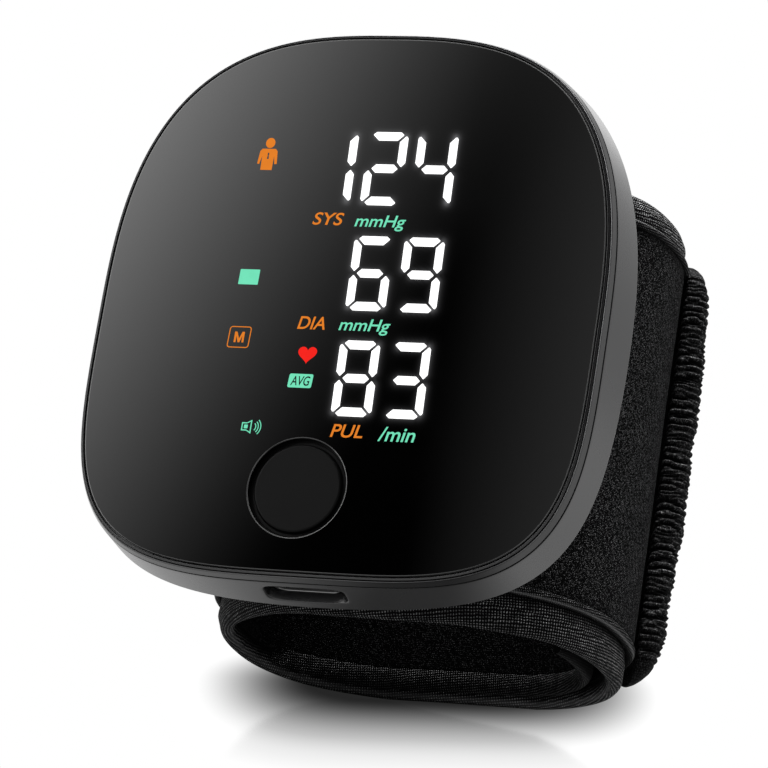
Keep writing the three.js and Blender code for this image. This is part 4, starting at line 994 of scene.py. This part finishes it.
def make_tape_weave():
    """Woven tape on the piece's own map: two sines across each other, turned by 52 degrees, stand up
    as small threads, and a noise makes them uneven."""
    tree, inside, out = number_group("tape_weave", ["Height", "Light"], Thread=0.42)
    place = own_map(tree)
    turned = tree.nodes.new("ShaderNodeMapping")
    turned.inputs["Rotation"].default_value = (0, 0, math.radians(52))
    tree.links.new(place, turned.inputs["Vector"])
    shake = noise_node(tree, place, 1.3)
    rate = math_node(tree, "DIVIDE", FULL_TURN, inside["Thread"])
    across, along, _ = split_node(tree, "ShaderNodeSeparateXYZ", turned.outputs[0])
    sines = [math_node(tree, "SINE", math_node(tree, "MULTIPLY_ADD", part, rate, product(tree, shake, far)))
             for part, far in ((across, 2.2), (along, -2.2))]
    threads = product(tree, *sines)
    fray = noise_node(tree, place, 6.0)
    patchy = noise_node(tree, place, 0.6)
    light = product(tree, math_node(tree, "POWER", range_node(tree, threads, 0.0, 1.0), 1.8),
                    range_node(tree, fray, 0.35, 0.65, 0.1), range_node(tree, patchy, 0.35, 0.65, 0.5, 1.3))
    feed(tree, out, Height=math_node(tree, "ADD", threads, product(tree, fray, 0.7)), Light=light)
    return tree


GROUPS = {"moulded_grain": make_moulded_grain(), "loop_cloth": make_loop_cloth(),
          "tape_weave": make_tape_weave()}


def grey(level, blue=None):
    """An even grey, or one whose blue differs."""
    return level, level, level if blue is None else blue


def new_material(name, **values):
    """A material with one Principled shader; its even values are set on the shader's own sockets."""
    material = bpy.data.materials.new(name)
    material.use_nodes = True
    sockets = material.node_tree.nodes["Principled BSDF"].inputs
    for label, value in values.items():
        sockets[label.replace("_", " ")].default_value = (*value, 1) if isinstance(value, tuple) else value
    return material, material.node_tree, sockets


def use_group(tree, name, **values):
    """One of the shader groups put to use, with its inputs set."""
    node = tree.nodes.new("ShaderNodeGroup")
    node.node_tree = GROUPS[name]
    for key, value in values.items():
        node.inputs[key].default_value = value
    return node.outputs


# Where a Mix node keeps its two colours and their mix.
FIRST_COLOUR, SECOND_COLOUR, MIXED_COLOUR = 6, 7, 2


def blend_colours(tree, share, first, second):
    """A mix of two colours, each a tuple or the output of another node."""
    node = tree.nodes.new("ShaderNodeMix")
    node.data_type = "RGBA"
    for socket, colour in ((FIRST_COLOUR, first), (SECOND_COLOUR, second)):
        if isinstance(colour, tuple):
            node.inputs[socket].default_value = (*colour, 1)
        else:
            tree.links.new(colour, node.inputs[socket])
    tree.links.new(share, node.inputs["Factor"])
    return node.outputs[MIXED_COLOUR]


def bump(tree, height, distance):
    """The normal of a surface that stands up by the height times the distance in metres."""
    node = tree.nodes.new("ShaderNodeBump")
    node.inputs["Strength"].default_value = 1.0
    node.inputs["Distance"].default_value = distance
    tree.links.new(height, node.inputs["Height"])
    return node.outputs[0]


def edged_share(tree, light, strength):
    """The cloth's share of its lighter colour: the edge attribute takes it away below zero, a painted shade,
    and adds to it above zero, a painted highlight.
    """
    mark = attribute_value(tree, "edge")
    kept = math_node(tree, "MINIMUM", math_node(tree, "ADD", mark, 1.0), 1.0)
    added = product(tree, math_node(tree, "MAXIMUM", mark, 0.0), strength)
    return math_node(tree, "MULTIPLY_ADD", light, math_node(tree, "MAXIMUM", kept, 0.0), added)


def moulded(name, low, high, roughness, spread, grain, bevel_highlight=None, **values):
    """A hard finish: a colour that drifts between two, fine grain, and gloss that wanders slowly. A bevel
    marked by the piece's edge attribute gets a lighter colour of its own, a painted highlight."""
    material, tree, sockets = new_material(name, **values)
    node = use_group(tree, "moulded_grain")
    mixed = blend_colours(tree, range_node(tree, node["Gloss"], -1, 1), low, high)
    # Painted highlight on the marked bevel.
    if bevel_highlight:
        mixed = blend_colours(tree, attribute_value(tree, "edge"), mixed, bevel_highlight)
    feed(tree, sockets, Base_Color=mixed, Normal=bump(tree, node["Height"], grain),
         Roughness=range_node(tree, node["Gloss"], -1, 1, roughness - spread, roughness + spread))
    return material


def plastic(name, colour, roughness, grain, level=0.5, bevel_highlight=None):
    """Moulded plastic: even colour with a faint drift."""
    lighter = tuple(c * 1.25 + 0.001 for c in colour)
    return moulded(name, colour, lighter, roughness, 0.04, grain, bevel_highlight, Specular_IOR_Level=level)


def metal(name, colour, roughness):
    """Bare metal: fine grain as on plastic, and gloss that wanders a little more."""
    return moulded(name, tuple(c * 0.8 for c in colour), colour, roughness, 0.06, 0.000002, Metallic=1.0)


def glass_finish():
    """Black glass, polished, with the display's light round its digits, and a painted highlight on its
    rounded edges: a lighter colour where the mesh's edge attribute is high."""
    material, tree, sockets = new_material("black_glass", Specular_IOR_Level=0.5, Emission_Strength=1.0)
    share = math_node(tree, "POWER", attribute_value(tree, "glow"), 1.6)
    smear = noise_node(tree, object_place(tree), 60.0, 4.0, 0.6)
    feed(tree, sockets, Emission_Color=blend_colours(tree, share, grey(0.0), grey(0.13, 0.135)),
         # The lighter colour at the marked edges is a painted highlight.
         Base_Color=blend_colours(tree, attribute_value(tree, "edge"), grey(0.0003), grey(0.06)),
         Roughness=range_node(tree, smear, 0.3, 0.75, 0.02, 0.06))
    return material


def lit_finish(name, colour, strength=1.0):
    """Light from the display, a little uneven as behind a diffuser."""
    material, tree, sockets = new_material(name, Base_Color=grey(0.0), Roughness=0.4,
                                           Specular_IOR_Level=0.0, Emission_Strength=strength)
    cells = noise_node(tree, object_place(tree), 900.0)
    dimmer = tuple(c * 0.86 for c in colour)
    feed(tree, sockets, Emission_Color=blend_colours(tree, cells, dimmer, colour))
    return material


def loop_finish(name, dark, light, distance, stitch=3.0, edge=0.0, painted_fold_light=False):
    """Knitted cloth: the loops' tips are lighter and stand up. Where the piece's edge attribute is below zero
    the cloth gets a painted shade. On gathered cloth only the crests of the folds are light: a painted
    highlight on the crests and painted shade in the hollows."""
    material, tree, sockets = new_material(name, Roughness=0.9, Specular_IOR_Level=0.02)
    node = use_group(tree, "loop_cloth", Stitch=stitch)
    share = node["Light"]
    if edge:
        share = edged_share(tree, share, edge)
    if painted_fold_light:
        # Painted highlight on the fold crests and painted shade in their hollows.
        high = math_node(tree, "POWER", attribute_value(tree, "painted_fold_light"), 2.2)
        share = product(tree, high, math_node(tree, "MULTIPLY_ADD", share, 1.5, 0.08))
    feed(tree, sockets, Base_Color=blend_colours(tree, share, dark, light),
         Normal=bump(tree, node["Height"], distance))
    return material


def tape_finish(name, dark, light, thread, distance, edge=0.0):
    """Woven tape: threads that stand up are lighter and a little smoother. Where the piece's edge attribute
    is high the cloth gets a painted highlight, and where it is below zero a painted shade."""
    material, tree, sockets = new_material(name, Specular_IOR_Level=0.04)
    node = use_group(tree, "tape_weave", Thread=thread)
    share = edged_share(tree, node["Light"], edge)
    feed(tree, sockets, Base_Color=blend_colours(tree, share, dark, light),
         Roughness=range_node(tree, node["Light"], 0, 1, 0.8, 0.6),
         Normal=bump(tree, node["Height"], distance))
    return material


FINISHES = {
    # The frame's bevel colour is a painted highlight.
    "frame": plastic("frame_gloss_plastic", grey(0.006, 0.0063), 0.22, 0.0000012, bevel_highlight=grey(0.16, 0.163)),
    "shell": plastic("shell_satin_plastic", grey(0.0085, 0.009), 0.28, 0.0000018),
    "button": plastic("button_matt_plastic", grey(0.0017), 0.4, 0.000002, level=0.06),
    "glass": glass_finish(),
    "white_light": lit_finish("white_light", grey(1.0), 1.6),
    "amber_light": lit_finish("amber_light", (0.84, 0.235, 0.025)),
    "mint_light": lit_finish("mint_light", (0.19, 0.83, 0.53)),
    "red_light": lit_finish("red_light", (1.0, 0.022, 0.016)),
    "wrap": loop_finish("loop_cloth_black", grey(0.0022, 0.0023), grey(0.125, 0.127), 0.0001, 4.4, edge=0.5),
    "tape": tape_finish("woven_tape_black", grey(0.0015, 0.0016), grey(0.6, 0.606), 0.56, 0.00005, edge=0.12),
    "piping": tape_finish("piping_black", grey(0.002, 0.0021), grey(0.3, 0.303), 0.42, 0.00004, edge=0.5),
    "rim": tape_finish("rim_tape_black", grey(0.001), grey(0.2, 0.202), 0.5, 0.00004),
    "lining": loop_finish("lining_cloth_black", grey(0.001), grey(0.026, 0.0265), 0.0001, 3.4),
    "gathered": loop_finish("gathered_cloth_black", grey(0.003, 0.0031), grey(0.33, 0.334), 0.00006, 3.6,
                            painted_fold_light=True),
    "hook": loop_finish("hook_cloth_black", grey(0.003), grey(0.06), 0.0001, 2.0),
    "board": plastic("circuit_board_green", (0.006, 0.06, 0.022), 0.45, 0.000004),
    "white": plastic("white_plastic", grey(0.62, 0.6), 0.4, 0.000002),
    "chip": plastic("chip_black", grey(0.01), 0.55, 0.000004),
    "black": plastic("black_plastic", grey(0.006), 0.4, 0.000003),
    "foam": loop_finish("foam_black", grey(0.01), grey(0.04), 0.0001),
    "silicone": plastic("clear_silicone", (0.45, 0.46, 0.46), 0.3, 0.000002),
    "rubber": plastic("bladder_rubber", grey(0.02, 0.022), 0.5, 0.000005),
    "core": plastic("core_plastic", grey(0.05, 0.052), 0.45, 0.000003),
    "foil": metal("battery_foil", (0.5, 0.51, 0.53), 0.35),
    "nickel": metal("bright_nickel", (0.72, 0.71, 0.69), 0.22),
    "tin": metal("dull_tin", grey(0.2), 0.3),
    "steel": metal("plain_steel", grey(0.42, 0.43), 0.34),
    "copper": metal("copper_wire", (0.7, 0.27, 0.12), 0.35),
    "brass": metal("brass_pin", (0.66, 0.47, 0.2), 0.3),
}

# The solids that are shown as they are, by finish.
CARRIED = {
    "black": ("glass_gasket", "cuff_mount_plate", "socket_tongue", "solenoid_valve", "air_nozzle"),
    "steel": ("housing_screw_1", "housing_screw_2", "housing_screw_3", "housing_screw_4", "pump_motor_case"),
    "chip": ("display_module", "switch_base", "controller_chip", "speaker"),
    "white": ("switch_plunger", "pump_head", "air_manifold"),
    "silicone": ("cuff_air_hose", "valve_air_hose", "nozzle_seal"),
    "board": ("main_board",), "nickel": ("pressure_sensor",), "foil": ("battery_cell",),
    "copper": ("pump_rotor",), "brass": ("valve_plunger",), "core": ("cuff_core",),
}


def dress_nodes():
    """The solids that are carried over get their finishes."""
    for finish, names in CARRIED.items():
        for name in names:
            node = bpy.data.objects[name]
            if not node.material_slots:
                node.data.materials.append(FINISHES[finish])
            for slot in node.material_slots:
                slot.material = FINISHES[finish]


# ---------------------------------------------------------------- the pieces

def heart(x, y, size):
    """The usual curve: sixteen times the cube of the sine across, four cosines up."""
    t = full_circle(48)[::-1]
    up = 13 * np.cos(t) - 5 * np.cos(2 * t) - 2 * np.cos(3 * t) - np.cos(4 * t)
    return np.column_stack([x + size * 16 * np.sin(t) ** 3 / 34, y + size * (up + 2.5) / 34])


def rounded_box(x, y, width, length, corner, slant=0.0):
    """A rectangle with quarter circles at its corners, leaned by the slant."""
    loop = []
    for side, end, start in ((1, 1, 0), (-1, 1, 90), (-1, -1, 180), (1, -1, 270)):
        for angle in np.radians(np.linspace(start, start + 90, 6)):
            across = side * (width / 2 - corner) + corner * math.cos(angle)
            up = end * (length / 2 - corner) + corner * math.sin(angle)
            loop.append((x + across + slant * up, y + up))
    return np.array(loop)


def arc_band(x, y, radius, width):
    """A band along the right quarter of a circle."""
    angle = np.radians(np.linspace(-45, 45, 14))
    outer, inner = (np.column_stack([x + reach * np.cos(angle), y + reach * np.sin(angle)])
                    for reach in (radius + width / 2, radius - width / 2))
    return np.concatenate([outer, inner[::-1]])


def resized(groups, about, size, place):
    """Groups of loops drawn about one place, grown and put at another."""
    return [[(loop - about) * size + place for loop in loops] for loops in groups]


def display_marks():
    """Everything that is lit: digits, words, a standing figure, the boxes, the speaker and the heart.
    The letters on the small lit box are dark."""
    white, amber, mint, red = (FINISHES[colour + "_light"] for colour in ("white", "amber", "mint", "red"))
    lit_marks("display_digits", [[corners] for corners in lit_segments()], white)
    lettering("display_words_amber", [("SYS", -4.4, 11.1, 1.75, 4.25), ("DIA", -4.3, -3.3, 1.75, 3.8),
                                      ("PUL", 2.9, -17.7, 1.75, 4.4)], amber)
    lettering("display_words_mint", [("mmHg", 2.85, 10.7, 2.15, 7.0), ("mmHg", 3.0, -3.6, 2.15, 7.0),
                                     ("/min", 9.7, -17.85, 1.95, 5.0)], mint)
    tie = np.array([(-14.3, 20.25), (-14.1, 20.25), (-14.05, 20.0), (-14.12, 19.85), (-14.02, 19.3),
                    (-14.38, 19.3), (-14.28, 19.85), (-14.35, 20.0)])
    body = np.array([(-15.3, 20.85), (-14.35, 20.85), (-14.05, 20.85), (-13.1, 20.85), (-12.75, 20.5),
                     (-12.55, 18.55), (-12.95, 18.5), (-13.2, 19.75), (-13.25, 17.6), (-14.2, 17.6),
                     (-15.15, 17.6), (-15.2, 19.75), (-15.5, 18.5), (-15.85, 18.55), (-15.65, 20.5)])
    person = resized([[circle(-14.15, 21.75, 0.78, 24)], [body[::-1], tie]], (-14.15, 17.85), (0.84, 0.92),
                     (-14.25, 17.95))
    box_place = (-14.0, -5.6)
    box = [rounded_box(*box_place, 3.05, 2.95, 0.4, 0.03),
           rounded_box(*box_place, 2.79, 2.69, 0.27, 0.03)[::-1]]
    letter = np.array([(-0.8, -0.85), (-0.8, 0.85), (-0.42, 0.85), (0.0, -0.25), (0.42, 0.85), (0.8, 0.85),
                       (0.8, -0.85), (0.48, -0.85), (0.48, 0.2), (0.13, -0.85), (-0.13, -0.85), (-0.48, 0.2),
                       (-0.48, -0.85)])
    letter = resized([[letter[::-1]]], (0, 0), 0.86, box_place)
    lit_marks("display_signs_amber", person + [box] + letter, amber)
    horn = [np.array([(-11.85, -18.35), (-11.85, -17.05), (-11.0, -17.05), (-10.25, -16.6), (-10.25, -18.8),
                      (-11.0, -18.35)]),
            np.array([(-11.67, -18.17), (-11.05, -18.17), (-10.43, -18.5), (-10.43, -16.9), (-11.05, -17.23),
                      (-11.67, -17.23)])]
    sound = [[arc_band(-10.3, -17.7, radius, 0.15)] for radius in (0.75, 1.15, 1.55)]
    speaker = resized([horn, [rounded_box(-11.15, -17.7, 0.6, 0.6, 0.1)]] + sound, (-10.3, -17.7), 0.86,
                      (-10.25, -17.7))
    lit_marks("display_signs_mint", [[rounded_box(-14.05, 2.72, 2.75, 2.1, 0.08, 0.02)]] + speaker
              + [[rounded_box(-4.55, -11.22, 3.28, 1.88, 0.25, 0.06)]], mint)
    lettering("display_words_dark", [("AVG", -4.55, -11.22, 1.3, 2.65)], FINISHES["glass"])
    lit_marks("display_sign_red", [[heart(-4.2, -7.75, 2.75)]], red)


front_glass(FINISHES["glass"], glow_at)
frame_ring(FINISHES["frame"])
rear_shell(FINISHES["shell"])
start_button(FINISHES["button"])
socket_shell(FINISHES["tin"])
display_marks()

outer_wrap(FINISHES["wrap"])
rolled_band("wrap_piping_upper", 0, 0.48, 1.4, -0.2, 1.05, FINISHES["piping"], ["wrap_piping_top"],
            0.05, 32, 50, (105, 285))
rolled_band("wrap_piping_lower", 1, 0.34, 1.3, 0.2, 1.35, FINISHES["piping"], ["wrap_piping_bottom"],
            0.05, 32, 315, (75, 250))
rolled_band("edge_binding_upper", 0, -0.35, 3.2, 1.75, 4.8, FINISHES["tape"],
                      ["edge_binding_top"], 0.16, 48, 130, (312,))
rolled_band("edge_binding_lower", 1, -0.75, 2.5, -2.2, 5.8, FINISHES["tape"],
                      ["edge_binding_bottom"], 0.16, 48, 236, (50, 188))
lining(FINISHES["lining"])
lining_tail(FINISHES["lining"])
tail_rim(FINISHES["rim"])
gathered_strap(FINISHES["gathered"])
hook_patch(FINISHES["hook"])
air_bladder(FINISHES["rubber"])
battery_pad(FINISHES["foam"])
dress_nodes()


# ---------------------------------------------------------------- floor and light

# The camera looks down on the floor at 8 degrees, and the floor's normal leans to the right by 4.
FLOOR_NORMAL = (CAMERA_UP * math.cos(math.radians(8)) + CAMERA_BACK * math.sin(math.radians(8))
                + CAMERA_ACROSS * math.tan(math.radians(4))).normalized()


def lowest_point():
    """The place where the object stands on the floor."""
    found = np.concatenate([mesh_points(bpy.data.objects[name].data)
                            for name in ("edge_binding_lower", "gathered_strap_pad")])
    return Vector(found[(found @ np.array(FLOOR_NORMAL)).argmin()])


def flat_card(name, centre, along, normal, size, material):
    """A flat square about its centre."""
    side = along.cross(normal).normalized()
    along = normal.cross(side).normalized()
    corners = [centre + side * (i * size / 2) + along * (j * size / 2)
               for i, j in ((-1, -1), (1, -1), (1, 1), (-1, 1))]
    mesh = bpy.data.meshes.new(name)
    mesh.from_pydata([tuple(corner) for corner in corners], [], [(0, 1, 2, 3)])
    mesh.materials.append(material)
    card = bpy.data.objects.new(name, mesh)
    bpy.context.collection.objects.link(card)
    return card


def bare_material(name):
    """A material without its Principled shader, and the socket that takes another."""
    material = bpy.data.materials.new(name)
    material.use_nodes = True
    tree = material.node_tree
    tree.nodes.remove(tree.nodes["Principled BSDF"])
    return material, tree, tree.nodes["Material Output"].inputs["Surface"]


def emission(tree, strength):
    """White light."""
    node = tree.nodes.new("ShaderNodeEmission")
    tree.links.new(strength, node.inputs["Strength"])
    return node.outputs[0]


def mix_shaders(tree, share, first, second):
    """The first shader where the share is 0 and the second where it is 1."""
    node = tree.nodes.new("ShaderNodeMixShader")
    for socket, value in zip(node.inputs, (share, first, second)):
        tree.links.new(value, socket)
    return node.outputs[0]


# The floor's shade in metres: how far left its middle lies, how far it reaches aside, how far its
# widest line lies behind the foot, how much that line is turned, and how far it reaches behind and
# in front of it. Then how far left the dip in the floor's shine lies.
SHADE_LEFT, SHADE_ASIDE, SHADE_BACK, SHADE_TURN = 0.0058, 0.0348, 0.012, 0.22
SHADE_BEHIND, SHADE_FRONT, DIP_LEFT = 0.03, 0.046, 0.0118


def floor_finish(foot):
    """White with a soft shade under the object's front and a faint mirror image in it. With a the
    distance aside and t the distance towards the viewer, both as shares of the shade's reach, the
    floor gets lighter with the root of a to the fourth plus t squared. What the object's gloss shows
    of the floor is dimmer near the middle. From below it is not there."""
    material, tree, surface = bare_material("pale_floor")
    place = object_place(tree)
    forward = (CAMERA_BACK - FLOOR_NORMAL * CAMERA_BACK.dot(FLOOR_NORMAL)).normalized()
    side = dot_node(tree, place, CAMERA_ACROSS)
    across = math_node(tree, "ADD", side, SHADE_LEFT)
    aside = math_node(tree, "DIVIDE", math_node(tree, "ABSOLUTE", across), SHADE_ASIDE)
    toward = math_node(tree, "SUBTRACT", dot_node(tree, place, forward), foot.dot(forward) - SHADE_BACK)
    toward = math_node(tree, "MULTIPLY_ADD", across, SHADE_TURN, toward)
    reach = range_node(tree, math_node(tree, "GREATER_THAN", toward, 0.0), 0, 1, SHADE_BEHIND, SHADE_FRONT)
    toward = math_node(tree, "DIVIDE", math_node(tree, "ABSOLUTE", toward), reach)
    away = math_node(tree, "ADD", math_node(tree, "POWER", aside, 4.0), math_node(tree, "POWER", toward, 2.0))
    away = math_node(tree, "POWER", away, 0.5)
    shade = range_node(tree, away, 0.24, 0.98, 0.025, 1.0, "SMOOTHSTEP")
    ray = tree.nodes.new("ShaderNodeLightPath").outputs
    middle = math_node(tree, "ABSOLUTE", math_node(tree, "ADD", side, DIP_LEFT))
    shine = product(tree, range_node(tree, middle, 0.005, 0.036, 0.14, 1.0, "SMOOTHSTEP"), 1.2)
    shine = math_node(tree, "SUBTRACT", shine, 1.0)
    level = product(tree, range_node(tree, ray["Is Diffuse Ray"], 0, 1, 1.0, 0.35),
                    math_node(tree, "MULTIPLY_ADD", shine, ray["Is Glossy Ray"], 1.0), shade)
    mirror = tree.nodes.new("ShaderNodeBsdfAnisotropic")
    dimmed = math_node(tree, "POWER", shade, 1.5)
    feed(tree, mirror.inputs, Color=blend_colours(tree, dimmed, grey(0.0), grey(1.0)))
    mirror.inputs["Roughness"].default_value = 0.16
    seen = product(tree, range_node(tree, away, 0.75, 1.2, 0.3, 0.0), ray["Is Camera Ray"])
    ground = mix_shaders(tree, seen, emission(tree, level), mirror.outputs[0])
    below = tree.nodes.new("ShaderNodeNewGeometry").outputs["Backfacing"]
    clear = tree.nodes.new("ShaderNodeBsdfTransparent").outputs[0]
    tree.links.new(mix_shaders(tree, below, ground, clear), surface)
    return material


def card_finish():
    """A soft box whose light falls from its upper left to its lower right, with a little more at its
    right end."""
    material, tree, surface = bare_material("soft_card")
    across, up, _ = split_node(tree, "ShaderNodeSeparateXYZ", object_place(tree))
    ramp = math_node(tree, "ADD", product(tree, across, -1000 / 118.0), product(tree, up, 1000 / 260.0))
    ramp = math_node(tree, "MAXIMUM", math_node(tree, "ADD", ramp, -1.68), 0.0)
    ramp = math_node(tree, "MINIMUM", math_node(tree, "POWER", ramp, 2.1), 1.6)
    right = math_node(tree, "POWER", range_node(tree, across, -0.137, -0.098), 1.2)
    level = math_node(tree, "MULTIPLY_ADD", right, 0.45, product(tree, ramp, 4.9))
    tree.links.new(emission(tree, level), surface)
    return material


def area_light(name, place, target, width, length, power):
    """A rectangle of light aimed at a place. Gloss doesn't show it."""
    data = bpy.data.lights.new(name, "AREA")
    data.shape = "RECTANGLE"
    data.size, data.size_y, data.energy = width, length, power
    light = bpy.data.objects.new(name, data)
    bpy.context.collection.objects.link(light)
    light.visible_glossy = False
    turn = (place - target).to_track_quat("Z", "Y").to_matrix().to_4x4()
    light.matrix_world = Matrix.Translation(place) @ turn


def light_scene():
    """The floor, a soft box that only gloss shows, two lights, and a world that the camera sees as
    white, cloth as a faint even light, and gloss as bright near the floor and in one place behind."""
    centre = Vector((0.0047, -0.036, 0.012))
    foot = lowest_point()
    flat_card("floor", foot - FLOOR_NORMAL * 0.0001, CAMERA_ACROSS, FLOOR_NORMAL, 6.0, floor_finish(foot))
    card = flat_card("soft_card", Vector((-0.22, 0.14, 0.455)), Vector((0, 1, 0)), Vector((0, 0, -1)), 0.5,
                     card_finish())
    card.visible_camera = card.visible_diffuse = card.visible_shadow = False
    area_light("top_light", centre + FLOOR_NORMAL * 0.9 - CAMERA_BACK * 0.2, centre, 0.7, 0.6, 32)
    area_light("side_light", centre + CAMERA_ACROSS * 0.7 + CAMERA_UP * 0.35 + CAMERA_BACK * 0.1, centre,
               0.35, 0.6, 3)
    world = bpy.data.worlds.new("studio")
    bpy.context.scene.world = world
    world.use_nodes = True
    tree = world.node_tree
    back = tree.nodes["Background"]
    back.inputs["Color"].default_value = (1, 1, 1, 1)
    ray = tree.nodes.new("ShaderNodeLightPath").outputs
    toward = tree.nodes.new("ShaderNodeTexCoord").outputs["Generated"]
    level = product(tree, range_node(tree, dot_node(tree, toward, FLOOR_NORMAL), 0.3, 0.6, 1.0, 0.01),
                    range_node(tree, ray["Is Diffuse Ray"], 0, 1, 1.0, 0.15))
    behind = dot_node(tree, toward, Vector((-0.08, 0.57, -0.82)))
    lobe = product(tree, range_node(tree, behind, 0.93, 1.0, 0.0, 0.75), ray["Is Glossy Ray"])
    mix = math_node(tree, "MAXIMUM", math_node(tree, "ADD", level, lobe), ray["Is Camera Ray"])
    feed(tree, back.inputs, Strength=mix)
    bpy.context.scene.view_settings.view_transform = "Standard"


light_scene()
